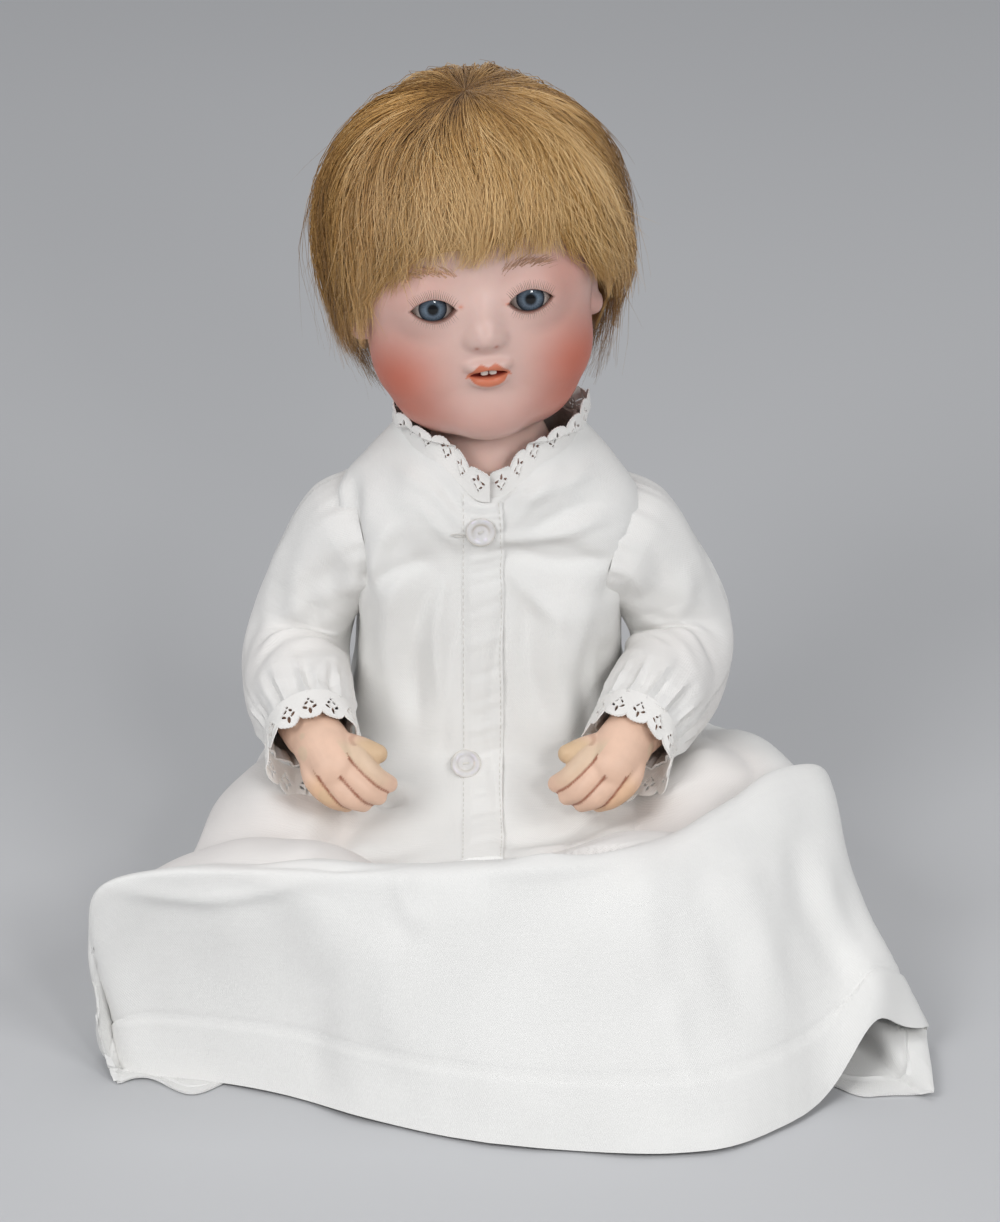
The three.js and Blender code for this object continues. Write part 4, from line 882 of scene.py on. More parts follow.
LOOSE = 4.8
FEET_Y = -142.6
RIDGE_Z = 71.5
belly = -torso_at(LAP_Z + 12)[1] - LOOSE
behind = torso_at(HIP_Z)[2] + LOOSE
rows = [  # y and z of the front, y and z of the back, reach to the left and to the right, squareness
    (-27.5, 144.8, 28.5, 163, 28, 28, 2.2), (-29.5, 141, 30, 153, 41, 40, 2.2), (-31, 135, 31.2, 145, 50, 48.8, 2.9),
]
for z, extra, power in ((124, 9.5, 4.2), (112.8, 4.4, 3.8), (98, 1.6, 3.0), (84, 0.8, 2.6), (70, 1.6, 2.6)):
    w, front, back = torso_at(z)
    wide = w + LOOSE + extra
    rows.append((-front - LOOSE, z, back + LOOSE, z + 1 + 5 * (z > 120), wide, wide, power))
rows += [
    (belly - 2, 59, behind - 1, 46, 55, 52, 2.6), (belly - 8, 53, behind, 33, 82, 74, 3.0),
    (belly - 20, 47, behind - 3, 12, 98, 83, 3.6), (belly - 36, 44, behind - 14, -5, 106, 90, 4.4),
    (belly - 54, 43, -30, -7, 108, 95, 4.6), (FEET_Y + 34, 50, -80, -8, 109, 105, 4.8),
    (FEET_Y + 14, RIDGE_Z - 6, -114, -8, 110, 116, 6), (FEET_Y - 2, RIDGE_Z, -130, -7, 112, 123, 8),
    (FEET_Y - 13, RIDGE_Z - 9, -141, -5, 115, 123, 8), (FEET_Y - 26, RIDGE_Z - 27, -150, -4, 121, 121, 7),
    (FEET_Y - 40, RIDGE_Z - 49, -156, -3, 129, 118, 6), (FEET_Y - 53, 1.2, -160, -2, 138, 116, 5),
]
LAST = len(rows) - 1
SHIFT_AT = [-125, -85, -50, -18, 30, 55, 72, 90, 110, 140]
# how far the hem and the ridge over the feet lie back, for each x in SHIFT_AT; the lift of the knee, by row
HEM_SHIFT = [43, 45, 29, 10, 1, 0, 1, 10, 42, 60]
RIDGE_SHIFT = [0, 0, 0, 0, 4, 14, 30, 52, 72, 84]
KNEE_LIFT = [(7.5, 0), (9, 14), (10, 18), (12, 20), (13, 17), (15, 3), (16, 0)]
print("gown rows:", len(rows))

# %% The fine sheet
LENGTHWISE, HALF_ROUND = 300, 150
# by row: how the shoulders tilt, how far the neckline rises beside its middle, how far the back slopes off
TILT = [(0, 0), (1, 0.03), (2, 0.07), (3, 0.05), (4, 0)]
NECK_DIP = [(0, 12), (1, 6), (2, 0)]
BACK_SLOPE = [(0, 0), (1, 7), (2, 11), (3, 6), (4, 0)]
fine = curve_through(rows, LENGTHWISE)
row_at = np.linspace(0, LAST, LENGTHWISE)
dense = np.linspace(0, math.pi, 900)


def eased(x, at, values):
    """A table read with its corners rounded off."""
    near = np.linspace(-22, 22, 9)
    return np.mean([np.interp(x + step, at, values) for step in near], axis=0)


def ring_half(r, side):
    """Half a section, from the middle of the front round one side to the middle of the back."""
    fy, fz, by, bz, left, right, power = fine[r]
    row = row_at[r]
    c, s = np.sin(dense), np.cos(dense)
    p = np.abs(c) ** (2 / power)
    q = np.sign(s) * np.abs(s) ** (2 / power)
    x = side * p * (left if side > 0 else right)
    over = smoothstep(-0.6, 0.4, q)
    ridge = smoothstep(11.6, 14.6, row)
    hem = smoothstep(LAST - 4.5, LAST, row)
    shift = ridge * (1 - hem) * eased(x, SHIFT_AT, RIDGE_SHIFT) + hem * eased(x, SHIFT_AT, HEM_SHIFT)
    y = (fy + by) / 2 + q * (fy - by) / 2 + shift * (0.35 + 0.65 * over) - 13 * hem * bump(x + 92, 11) * (1 - over)
    z = (fz + bz) / 2 + q * (fz - bz) / 2
    z = z - x * read_table(row, TILT)
    z = z + smoothstep(-0.6, 0.2, q) * smoothstep(2, 18, np.abs(x)) * read_table(row, NECK_DIP)
    z = z - smoothstep(0.4, -0.5, q) * smoothstep(12, 44, np.abs(x)) * read_table(row, BACK_SLOPE)
    z = z + over * read_table(row, KNEE_LIFT) * smoothstep(52, 98, x)
    ring = np.stack([x, y, z, q], 1)
    lengths = path_lengths(ring[:, :3])
    return read_along(np.linspace(0, lengths[-1], HALF_ROUND), lengths, ring)


def lay_over_legs(half):
    x, y, z, q = (half[..., k] for k in range(4))
    hanging = smoothstep(LAST - 5, LAST - 1.5, row_at)[:, None]
    on_lap = smoothstep(7.2, 9.6, row_at)[:, None] * (1 - hanging)
    above = smoothstep(-0.1, 0.5, q)
    z = z + above * on_lap * np.maximum(lap_height(x, y) - z, 0)
    at_hem = smoothstep(LAST - 2.2, LAST, row_at)[:, None]
    z = z + np.where(q > 0, 19 * at_hem * bump(x - 121, 12) * smoothstep(0.0, 0.6, q), 0)
    z = z + 5 * at_hem * smoothstep(126, 138, x)
    y = y - np.where(q > 0, 0, 14 * at_hem * smoothstep(100, 118, x))
    return np.stack([x, y, np.maximum(z, 0.5)], -1)


def sheet_normals(points, row, column):
    """Normals of a sheet of points, turned so that the one at the given place faces the front."""
    n = np.cross(np.gradient(points, axis=0), np.gradient(points, axis=1))
    n = n / np.maximum(np.linalg.norm(n, axis=-1, keepdims=True), 1e-9)
    return -n if n[row, column] @ (0, -1, 0) < 0 else n


def noise_1d(x, seed, octaves=3):
    made = np.random.default_rng(seed)
    total = np.zeros_like(x)
    for k in range(octaves):
        total += np.sin(x * (1.7**k) * made.uniform(0.8, 1.2) + made.uniform(0, 6.28)) / (1.5**k)
    return total


halves = {side: lay_over_legs(np.stack([ring_half(r, side) for r in range(LENGTHWISE)])) for side in (1, -1)}
print("gown sheet:", LENGTHWISE, "rows of", 2 * HALF_ROUND, "points")

# %% [markdown]
# ## Folds in the cloth
# A fold is a line of raised or sunken cloth. Those that the eye looks for are drawn as lines in the
# picture plane, each with a width and a depth, and move only the cloth that faces the viewer. The rest of
# the sheet gets broad, quiet waves that run down the cloth, so that the sides and the back aren't bare.

# %% Folds
FOLD_GAIN = 1.35
FLOOR_GAP = 0.45
FOLDS = [  # from x, y to x, y in the picture, half width in pixels, height in mm
    (352, 478, 372, 600, 9, -2.2), (338, 470, 352, 560, 8, 1.6), (392, 520, 370, 600, 12, 1.8),
    (405, 470, 440, 560, 16, 1.2), (470, 535, 400, 470, 9, 1.1), (490, 540, 600, 520, 8, 1.4),
    (500, 548, 610, 560, 8, -1.2), (505, 560, 560, 620, 10, 1.2), (600, 560, 520, 545, 9, -0.9),
    (606, 600, 640, 520, 9, -2.0), (622, 560, 655, 495, 8, 1.5), (590, 600, 575, 680, 14, 1.4),
    (610, 640, 612, 700, 10, -1.6), (372, 640, 380, 760, 16, 1.1), (430, 640, 420, 780, 20, -0.9),
    (540, 640, 545, 780, 18, 0.9), (505, 600, 504, 840, 7, -0.8), (462, 600, 456, 840, 6, -0.5),
    (560, 700, 600, 830, 14, 1.2), (360, 760, 300, 850, 14, 1.6), (390, 800, 330, 860, 12, -1.3),
    (515, 858, 640, 826, 9, 2.4), (500, 842, 600, 812, 9, -1.8), (640, 800, 720, 740, 14, 1.6),
    (230, 760, 330, 840, 16, 1.4), (250, 860, 420, 845, 9, -1.5), (400, 870, 420, 930, 12, 1.4),
    (395, 930, 402, 1060, 22, 1.6), (520, 890, 530, 1080, 40, -1.2), (640, 860, 668, 1010, 24, 1.0),
    (700, 850, 748, 1010, 20, -1.0), (745, 850, 790, 1010, 18, 1.1), (402, 560, 394, 710, 13, 1.7),
    (427, 590, 415, 725, 11, -1.7), (447, 570, 441, 700, 8, 1.1), (530, 590, 541, 720, 12, -1.6),
    (560, 600, 566, 720, 13, 1.7), (586, 640, 592, 740, 9, -1.5), (515, 500, 590, 470, 10, 1.2),
    (430, 560, 372, 585, 9, -1.3), (348, 783, 402, 800, 6, -3.2), (345, 770, 410, 786, 7, 1.8),
    (420, 500, 462, 545, 8, 1.1), (440, 480, 470, 520, 6, -0.8), (520, 480, 500, 525, 7, 0.9),
    (560, 470, 512, 528, 9, 1.0), (600, 500, 530, 535, 8, -1.0), (395, 600, 410, 700, 14, -1.2),
    (790, 840, 850, 980, 15, -1.1), (820, 860, 890, 1000, 13, 1.0), (668, 1000, 700, 1110, 18, 1.4),
    (250, 900, 230, 1060, 34, 1.1), (150, 900, 150, 1060, 26, -1.3), (330, 960, 320, 1090, 20, -1.0),
    (120, 890, 300, 884, 9, 1.2), (480, 870, 640, 848, 9, 1.4),
]


def fold_heights(points, normals):
    flat = points.reshape(-1, 3)
    seen = picture_place(flat)
    faces_us = smoothstep(0.05, 0.4, normals.reshape(-1, 3) @ TO_CAMERA)
    rise = np.zeros(len(flat))
    for x0, y0, x1, y1, wide, high in FOLDS:
        line = np.array([x1 - x0, y1 - y0], float)
        long = np.linalg.norm(line)
        along = ((seen - (x0, y0)) @ line) / long**2
        off = ((seen - (x0, y0)) @ np.array([-line[1], line[0]])) / long
        off = off - 0.06 * long * np.sin(math.pi * np.clip(along, 0, 1))
        ends = smoothstep(-0.15, 0.25, along) * smoothstep(1.2, 0.7, along)
        rise += FOLD_GAIN * high * bump(off, wide) * ends
    return (rise * faces_us).reshape(points.shape[:2])


def quiet_waves(side):
    row = row_at[:, None]
    column = np.linspace(0, 1, HALF_ROUND)[None, :]
    drift = column * 21 + 0.35 * noise_1d(row * 0.9 + column * 2, 11 + side)
    skirt = smoothstep(8, 11, row) * noise_1d(drift, 5 + side) * 0.55
    bodice = smoothstep(1, 3, row) * smoothstep(9, 7, row) * noise_1d(drift * 0.8 + row * 0.25, 15 + side) * 0.45
    pleats = noise_1d(column * 34 + 0.5 * noise_1d(row * 0.6, 25 + side), 35 + side)
    hung = smoothstep(2, 6, row) * smoothstep(0.45, 0.62, column) * pleats
    return skirt + bodice + hung * 0.75 * smoothstep(LAST, 12, row)


gown_sheets = {}
from_seam = np.minimum(np.arange(HALF_ROUND), np.arange(HALF_ROUND)[::-1])
hem_band = 0.5 * smoothstep(LAST - 0.86, LAST - 0.82, row_at) - 0.5 * bump(row_at - LAST + 0.9, 0.035)
for side, base in halves.items():
    normals = sheet_normals(base, 40, 0)
    waves = quiet_waves(side) * smoothstep(0, 8, from_seam)[None, :]
    rise = fold_heights(base, normals) + waves + hem_band[:, None]
    shaped = base + normals * (rise * smoothstep(0, 0.6, row_at)[:, None])[..., None]
    shaped[..., 2] = np.maximum(shaped[..., 2], FLOOR_GAP)
    gown_sheets[side] = shaped
join = (gown_sheets[1] + gown_sheets[-1]) / 2
for side in (1, -1):
    for column in (0, -1):
        gown_sheets[side][:, column] = join[:, column]
print("folds:", len(FOLDS))

# %% White cotton, and the two halves of the gown
CLOTH_THICK = 0.7
SKIN_THROUGH = (0.83, 0.70, 0.65, 1)


def cotton_material(name, colour, threads=2.6):
    material, tree, sockets = start_material(name, Specular_IOR_Level=0.25, Sheen_Weight=0.12, Sheen_Roughness=0.5)
    spots = add_node(tree, "ShaderNodeTexCoord").outputs
    shade = use_group(tree, mottle, Vector=spots["Object"], Scale=28.0, Low=0.965, High=1.015)["Shade"]
    cloth = use_group(tree, weave, Place=spots["UV"], Threads=threads)
    tint = mixed(tree, 1.0, colour, shade, "MULTIPLY")
    tint = mixed(tree, attribute(tree, "warmth", "Fac"), tint, SKIN_THROUGH)
    tree.links.new(tint, sockets["Base Color"])
    tree.links.new(maths(tree, "MULTIPLY_ADD", cloth["Slub"], 0.16, 0.76), sockets["Roughness"])
    height = maths(tree, "ADD", cloth["Height"], maths(tree, "MULTIPLY", cloth["Slub"], 1.6))
    tree.links.new(raised(tree, height, 0.00012, 0.55), sockets["Normal"])
    return material


def cloth_map(points):
    """Lengths across and along a sheet, in millimetres."""
    across = np.cumsum(np.linalg.norm(np.diff(points, axis=1), axis=2), axis=1)
    across = np.concatenate([np.zeros((len(points), 1)), across], 1)
    along = np.concatenate([[0], np.cumsum(np.linalg.norm(np.diff(points, axis=0), axis=2).mean(1))])
    return np.stack([across, np.repeat(along[:, None], points.shape[1], 1)], -1).reshape(-1, 2)


def cloth_area(piece):
    return sum(face.area for face in piece.data.polygons)


def thicken(piece, thick):
    solid = piece.modifiers.new("cloth", "SOLIDIFY")
    solid.thickness = thick * MM
    solid.offset = -1
    finish_shape(piece)
    piece.data.set_sharp_from_angle(angle=0.9)


cotton = cotton_material("white_cotton", (0.80, 0.795, 0.775, 1))
for side, name in SIDES:
    shaped = gown_sheets[side]
    faces = grid_faces(*shaped.shape[:2], closed=False)
    piece = make_piece(f"gown_{name}_half", shaped.reshape(-1, 3), faces[:, ::-1] if side > 0 else faces, cotton)
    over_legs = bump(lap_height(shaped[..., 0], shaped[..., 1]) - shaped[..., 2], 5)
    on_lap = smoothstep(8, 10, row_at) * smoothstep(16, 13.5, row_at)
    paint(piece, "warmth", (0.22 * over_legs * on_lap[:, None]).ravel())
    lay_uv(piece, cloth_map(shaped))
    area = cloth_area(piece)
    thicken(piece, CLOTH_THICK)
    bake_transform(piece)
    print(piece.name, "area", round(area, 4), "m2;", len(piece.data.polygons), "faces")
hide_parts("gown_body")

# %% [markdown]
# ## Sleeves
# Each sleeve is a tube along the arm. It leaves the bodice at the armhole seam, puffs a little over the
# shoulder, creases at the elbow and is gathered into the seam of the cuff.

# %% Sleeves
ELBOW = {1: (62.9, -7, 82), -1: (-63.9, -7, 81)}
WRIST = {1: (46.9, -54, 74), -1: (-57.9, -54, 74)}
ALONG_SLEEVE, ROUND_SLEEVE = 150, 100
LINE_EASE, FRAME_EASE = 310, 560  # times that the sleeve's line and the directions along it are relaxed
SLEEVE_RADIUS = [  # how far along, mm
    (0, 18.5), (0.08, 18.6), (0.2, 16.9), (0.3, 16.4), (0.42, 16.8), (0.55, 18), (0.7, 18.2), (0.82, 17.6), (0.9, 16.2),
    (0.94, 14.9), (1, 14.6),
]
SLEEVE_TALL = [(0, 1.12), (0.07, 1.12), (0.18, 1.04), (0.35, 1), (1, 1)]
SLEEVE_DEEP = [(0, 1.4), (0.06, 1.36), (0.16, 1.24), (0.3, 1.08), (0.42, 1)]
SLEEVE_CREASES = {  # how far along, where round (0 is up, 90 is forward), slope, half width, half length, height
    1: [
        (0.30, 62, 22, 10, 0.16, 1.5), (0.36, 96, -20, 9, 0.13, -1.6), (0.46, 66, -32, 9, 0.11, 1.7),
        (0.50, 104, -40, 9, 0.13, -2.0), (0.56, 78, -42, 10, 0.11, 1.6), (0.60, 128, -38, 10, 0.13, 1.9),
        (0.62, 44, -36, 9, 0.10, -1.4), (0.68, 90, -40, 10, 0.10, -1.5), (0.73, 62, -32, 9, 0.10, 1.3),
        (0.78, 110, -28, 9, 0.10, 1.3), (0.2, 20, 10, 9, 0.15, 0.9), (0.42, 0, 10, 11, 0.2, 0.9),
        (0.14, 95, 15, 8, 0.1, 1.2), (0.16, 70, 10, 8, 0.1, -1.0), (0.86, 70, 0, 7, 0.07, 0.8),
        (0.86, 110, 0, 7, 0.07, -0.8),
    ],
    -1: [
        (0.28, 58, 12, 10, 0.2, 1.4), (0.34, 90, 16, 9, 0.16, -1.5), (0.44, 35, 10, 10, 0.2, 1.0),
        (0.5, 100, -34, 9, 0.12, 1.7), (0.55, 75, -38, 9, 0.11, -1.8), (0.58, 118, -40, 9, 0.13, -1.6),
        (0.62, 60, -36, 10, 0.11, 1.7), (0.69, 95, -34, 9, 0.11, 1.6), (0.72, 45, -34, 9, 0.09, -1.2),
        (0.77, 75, -28, 9, 0.10, -1.3), (0.81, 110, -22, 9, 0.09, 1.2), (0.15, 80, 12, 8, 0.1, -1.2),
        (0.13, 105, 12, 8, 0.1, 1.2), (0.87, 60, 0, 7, 0.07, -0.8), (0.88, 100, 0, 7, 0.07, 0.8),
        (0.2, 10, 5, 9, 0.15, 0.9),
    ],
}


def arm_line(side):
    elbow, wrist = np.array(ELBOW[side]), np.array(WRIST[side])
    return np.array([
        (side * (SHOULDER_X + 5), 0, SHOULDER_Z), (side * (SHOULDER_X + 18), -1, SHOULDER_Z - 6.5),
        (side * (SHOULDER_X + 25.5), -3, SHOULDER_Z + 0.62 * (elbow[2] - SHOULDER_Z)), elbow,
        (elbow + wrist) / 2 + (2 * side, -3, -1), wrist,
    ])


def line_frames(line, first_side):
    """Directions along a line and two across it, turned as little as can be from one point to the next.
    They turn more slowly than the line, so that rings across a sharp bend stay clear of each other."""
    along = unit(relax(np.gradient(line, axis=0), FRAME_EASE))
    across = np.zeros_like(line)
    last = np.array(first_side, float)
    for k in range(len(line)):
        last = unit(last - along[k] * (last @ along[k]))
        across[k] = last
    return along, across, np.cross(along, across)


def hand_axes(side):
    """Ways along the hand, toward the thumb and out of its back."""
    along = unit(np.array([-side * 0.44, -0.78, -0.38]))
    thumb = np.array([-side, 0.1, 0.35])
    thumb = unit(thumb - along * (thumb @ along))
    return along, thumb, np.cross(along, thumb) * -side


cuff_frames = {}
for side, name in SIDES:
    higher = 2 if side < 0 else 0
    armhole = [(side * 39.5, -0.5, 119.5 + higher), (side * 46, -0.6, 117.5 + higher)]
    spine = np.vstack([armhole, arm_line(side)[1:]])
    spine[4] += (side * 1.5, 2.5, -3.5)
    line = relax(curve_through(spine, ALONG_SLEEVE), LINE_EASE)
    lengths = path_lengths(line)
    even = np.linspace(0, lengths[-1], ALONG_SLEEVE)
    line = read_along(even, lengths, line)
    u = even / even[-1]
    along, up, forward = line_frames(line, (0, 0, 1))
    if forward[0][1] > 0:
        forward = -forward
    turn = np.linspace(0, 2 * math.pi, ROUND_SLEEVE, endpoint=False)
    degrees = np.degrees(turn)
    radius, tall, deep = (read_table(u, table)[:, None] for table in (SLEEVE_RADIUS, SLEEVE_TALL, SLEEVE_DEEP))
    rise = np.zeros((ALONG_SLEEVE, ROUND_SLEEVE))
    for where, angle, slope, wide, long, high in SLEEVE_CREASES[side]:
        off = (degrees[None, :] - angle - slope * (u[:, None] - where) / 0.12 + 180) % 360 - 180
        rise += high * bump(off * radius * math.pi / 180, wide * 0.42) * bump(u[:, None] - where, long * 0.62)
    gathered = bump(u - 0.93, 0.08) * 0.9 + bump(u - 0.02, 0.06) * 0.3
    gathers = noise_1d(turn * 17, 31 + side, 2)[None, :] * gathered[:, None]
    rise += gathers + 0.35 * noise_1d(turn[None, :] * 3 + u[:, None] * 9, 41 + side)
    ring = radius + rise
    high, wide = (np.cos(turn)[None, :] * ring * tall)[..., None], (np.sin(turn)[None, :] * ring * deep)[..., None]
    points = line[:, None] + up[:, None] * high + forward[:, None] * wide
    piece = make_piece(f"{name}_sleeve_cloth", points.reshape(-1, 3), grid_faces(*points.shape[:2]), cotton)
    outward = points.reshape(-1, 3) - np.repeat(line, ROUND_SLEEVE, 0)
    normals = np.array([v.normal[:] for v in piece.data.vertices])
    if (outward * normals).sum() < 0:
        piece.data.flip_normals()
    seen = smoothstep(0.3, 0.65, u) * smoothstep(1.0, 0.7, u)
    paint(piece, "warmth", np.repeat(0.09 * seen + 0.03, ROUND_SLEEVE))
    around = np.repeat(turn[None, :] * 18, ALONG_SLEEVE, 0)
    lay_uv(piece, np.stack([around, np.repeat(even[:, None], ROUND_SLEEVE, 1)], -1).reshape(-1, 2))
    area = cloth_area(piece)
    thicken(piece, CLOTH_THICK)
    cuff_frames[side] = (line[-1], along[-1], up[-1], forward[-1])
    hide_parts(f"{name}_sleeve")
    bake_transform(piece)
    print(piece.name, "area", round(area, 4), "m2, length", round(even[-1], 1), "mm")

# %% [markdown]
# ## The mohair wig
# Hair runs from a whorl at the crown, forward to a fringe and down past the ears. A streaked base closes the
# wig, and fine tapered strands lie over it in locks: the strands of a lock draw together toward its tip.
# Roots are dark and tips are pale. Painted highlight lightens the raised locks and the front of the fringe,
# and painted shade darkens the sunken locks, the sides, most on the doll's right, and the nape. A few loose
# strands stand off the outline.

# %% Shape of the wig and its base
WIG_MIDDLE = np.array([1.9, 4, 74.0])
WIG_SIZE = np.array([50.2, 55, 53.5])
WIG_ROUND, WIG_DOWN = 180, 50
BASE_SHARE, BASE_LAYER, BASE_THICK = 0.94, 0.945, 0.9
CROWN = unit(np.array([0.02, -0.2, 0.98]))
TO_FRONT = unit(np.array([0, -1, 0]) - CROWN * (CROWN @ (0, -1, 0)))
TO_LEFT = np.cross(TO_FRONT, CROWN)
TO_LEFT *= np.sign(TO_LEFT[0])
WIG_EDGE = [  # degrees round the crown (0 is the front), turn away from it at which the hair ends
    (-180, 2.62), (-130, 2.62), (-98, 2.54), (-88, 2.34), (-75, 2.12), (-60, 2.0), (-53, 1.93), (-43, 1.7),
    (-35, 1.46), (-25, 1.33), (-14, 1.27), (0, 1.25), (13, 1.22), (23, 1.23), (33, 1.32), (44, 1.52),
    (56, 1.75), (65, 1.82), (80, 1.92), (92, 2.26), (100, 2.54), (130, 2.62), (180, 2.62),
]
HAIR_PALE = np.array([0.84, 0.585, 0.285])
HAIR_GOLD = np.array([0.55, 0.31, 0.09])
HAIR_BROWN = np.array([0.2, 0.09, 0.02])


def wig_place(turn, around, layer):
    """Points of the wig: the turn away from the crown, the angle round it (0 is the front), the layer."""
    ring = np.cos(around)[..., None] * TO_FRONT + np.sin(around)[..., None] * TO_LEFT
    d = np.cos(turn)[..., None] * CROWN + np.sin(turn)[..., None] * ring
    dome = 1 / np.sqrt(((d / WIG_SIZE) ** 2).sum(-1))
    straight = 1 / np.sqrt(((d[..., :2] / WIG_SIZE[:2]) ** 2).sum(-1) + 1e-6)
    low = smoothstep(0.05, -0.7, d[..., 2])
    reach = dome + np.clip(straight - dome, 0, 30) * 0.5 * low
    return head_to_world(WIG_MIDDLE + d * (reach * layer)[..., None])


def wig_edge(around):
    return read_table((np.degrees(around) + 180) % 360 - 180, WIG_EDGE)


def hair_tone(tone):
    """0 is brown, 1 is gold and 2 is pale."""
    tone = np.clip(tone, 0, 2)[..., None]
    dark, light = HAIR_BROWN + (HAIR_GOLD - HAIR_BROWN) * tone, HAIR_GOLD + (HAIR_PALE - HAIR_GOLD) * (tone - 1)
    return np.where(tone < 1, dark, light)


mohair, tree, sockets = start_material("mohair", Roughness=0.42, Specular_IOR_Level=0.4, Sheen_Weight=0.15)
tree.links.new(attribute(tree, "paint"), sockets["Base Color"])

around = np.linspace(0, 2 * math.pi, WIG_ROUND, endpoint=False)
share = np.linspace(0.0, 1, WIG_DOWN)[:, None]
turns = share * (wig_edge(around) * BASE_SHARE)[None, :]
layers = np.full(turns.shape, BASE_LAYER) - 0.02 * (share > 0.97)
base_points = wig_place(turns, np.repeat(around[None, :], WIG_DOWN, 0), layers)
wig_base = make_piece("wig_base", base_points.reshape(-1, 3), grid_faces(WIG_DOWN, WIG_ROUND), mohair)
streaks = 0.75 + 0.28 * noise_1d(around * 31, 3)[None, :] + 0.2 * noise_1d(turns * 5 + around[None, :] * 3, 4)
streaks = streaks * smoothstep(0.05, 0.4, turns) + 0.1
paint(wig_base, "paint", hair_tone(streaks).reshape(-1, 3) * 0.85)
solid = wig_base.modifiers.new("cap", "SOLIDIFY")
solid.thickness = BASE_THICK * MM
solid.offset = 0
finish_shape(wig_base)
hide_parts("mohair_wig")
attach(wig_base, "head")
print("wig base:", len(wig_base.data.polygons), "faces")

# %% Locks and loose strands
POINTS, PER_PIECE, LOCKS = 9, 2600, 150
LOOSE_HAIRS = 900
HAIR_THICK, LOOSE_THICK = 0.135, 0.08
lock_around = np.sort(rng.uniform(-math.pi, math.pi, LOCKS))
lock_tone = rng.normal(0, 0.46, LOCKS)
lock_lift = rng.uniform(-0.03, 0.055, LOCKS)
lock_sway = rng.normal(0, 0.26, LOCKS)
lock_end = rng.normal(-0.015, 0.075, LOCKS)


def hair_swell(turn, around):
    """Broad locks, from -1 to 1, where the hair stands up and lies back; painted highlight and shade follow them."""
    return 0.6 * np.sin(4.3 * around + 1.7 * turn + 0.6) + 0.4 * np.sin(9.1 * around - 3.1 * turn + 2.0)


def lock_bend(turn, start, around, kind):
    """How far a lock has swung round the head: each has its own swing, and neighbours share a wave."""
    own = lock_sway[kind] * smoothstep(0.1, 1.3, turn - start) * np.sin(1.1 * turn + kind)
    return own + 0.14 * np.sin(2.4 * turn + 2.2 * around) * smoothstep(0.2, 0.9, turn)


def ripple(turn, slow, fast, count):
    """A wave along each strand, with its own pace and its own start."""
    return np.sin(turn * rng.uniform(slow, fast, (count, 1)) + rng.uniform(0, 6.28, (count, 1)))


def lay_hair(number, count, begin, finish, layers, loose):
    """Strands as paths in mm with taper and colour. Begin and finish are shares of the way to the edge."""
    front = rng.uniform(0, 1, count) < 0.45
    angle = np.where(front, rng.normal(0, 1.0, count), rng.uniform(-math.pi, math.pi, count))
    angle = (angle + math.pi) % (2 * math.pi) - math.pi
    lock = np.clip(np.searchsorted(lock_around, angle + rng.normal(0, 0.03, count)), 0, LOCKS - 1)
    kind = (lock * 11 + number * 37) % LOCKS
    middle = lock_around[lock]
    edge = wig_edge(middle)
    start = rng.uniform(*begin, count) * edge
    for _ in range(3):
        edge = wig_edge(middle + lock_bend(edge, start, middle, kind))
    end = edge * rng.uniform(*finish, count) + lock_end[kind] * 1.4 + rng.normal(0, 0.03, count)
    end = np.clip(end, start + 0.3, edge * 1.035)
    t = np.linspace(0, 1, POINTS)[None, :]
    turn = start[:, None] + (end - start)[:, None] * t
    off = (middle - angle)[:, None]
    bend = lock_bend(turn, start[:, None], middle[:, None], kind[:, None])
    wander = bend + rng.normal(0, 0.02 + loose, (count, 1)) * t**1.5
    round_ = angle[:, None] + off * 0.85 * smoothstep(0.1, 1, t) + wander
    round_ = round_ + (0.014 + loose) * ripple(turn, 3, 7, count)
    layer = rng.uniform(*layers, count)[:, None] + lock_lift[kind][:, None] * smoothstep(0.15, 0.7, turn)
    stand_off = (0.018 + loose) * rng.normal(0.25, 0.7, (count, 1)) * t**2
    layer = layer - 0.035 * (1 - smoothstep(0, 0.25, t)) + stand_off
    layer = layer + 0.01 * ripple(turn, 5, 9, count)
    swell = hair_swell(turn, round_)
    at_front = np.clip(np.cos(round_), 0, 1)
    layer = layer + 0.02 * swell * smoothstep(0.2, 0.7, turn)
    layer = layer - 0.05 * smoothstep(1.0, 1.35, turn) * at_front - 0.03 * smoothstep(2.0, 2.5, turn)
    side_shade_share = smoothstep(0.9, 1.5, np.abs(round_)) * smoothstep(0.7, 1.2, turn)
    # painted highlight on the raised locks and painted shade on the sunken ones, through swell
    tone = 1.05 + lock_tone[kind][:, None] + rng.normal(0, 0.25, (count, 1)) + 0.45 * (t - 0.4) + 0.35 * swell
    # painted highlight across the front of the fringe, and painted shade on the sides, most on the doll's right
    tone = tone + 0.8 * bump(turn - 1.0, 0.4) * at_front - np.where(round_ < 0, 1.05, 0.85) * side_shade_share
    tone = np.maximum(tone, 0.3) * (0.3 + 0.7 * smoothstep(0.05, 0.55, turn))
    # painted shade: the hair darkens toward the nape
    tone = tone * (1 - 0.45 * smoothstep(2.15, 2.6, turn))
    taper = np.repeat(0.5 + 0.5 * smoothstep(0, 0.2, t) - 0.85 * smoothstep(0.5, 1, t), count, 0)
    return wig_place(turn, round_, layer), taper, hair_tone(tone)


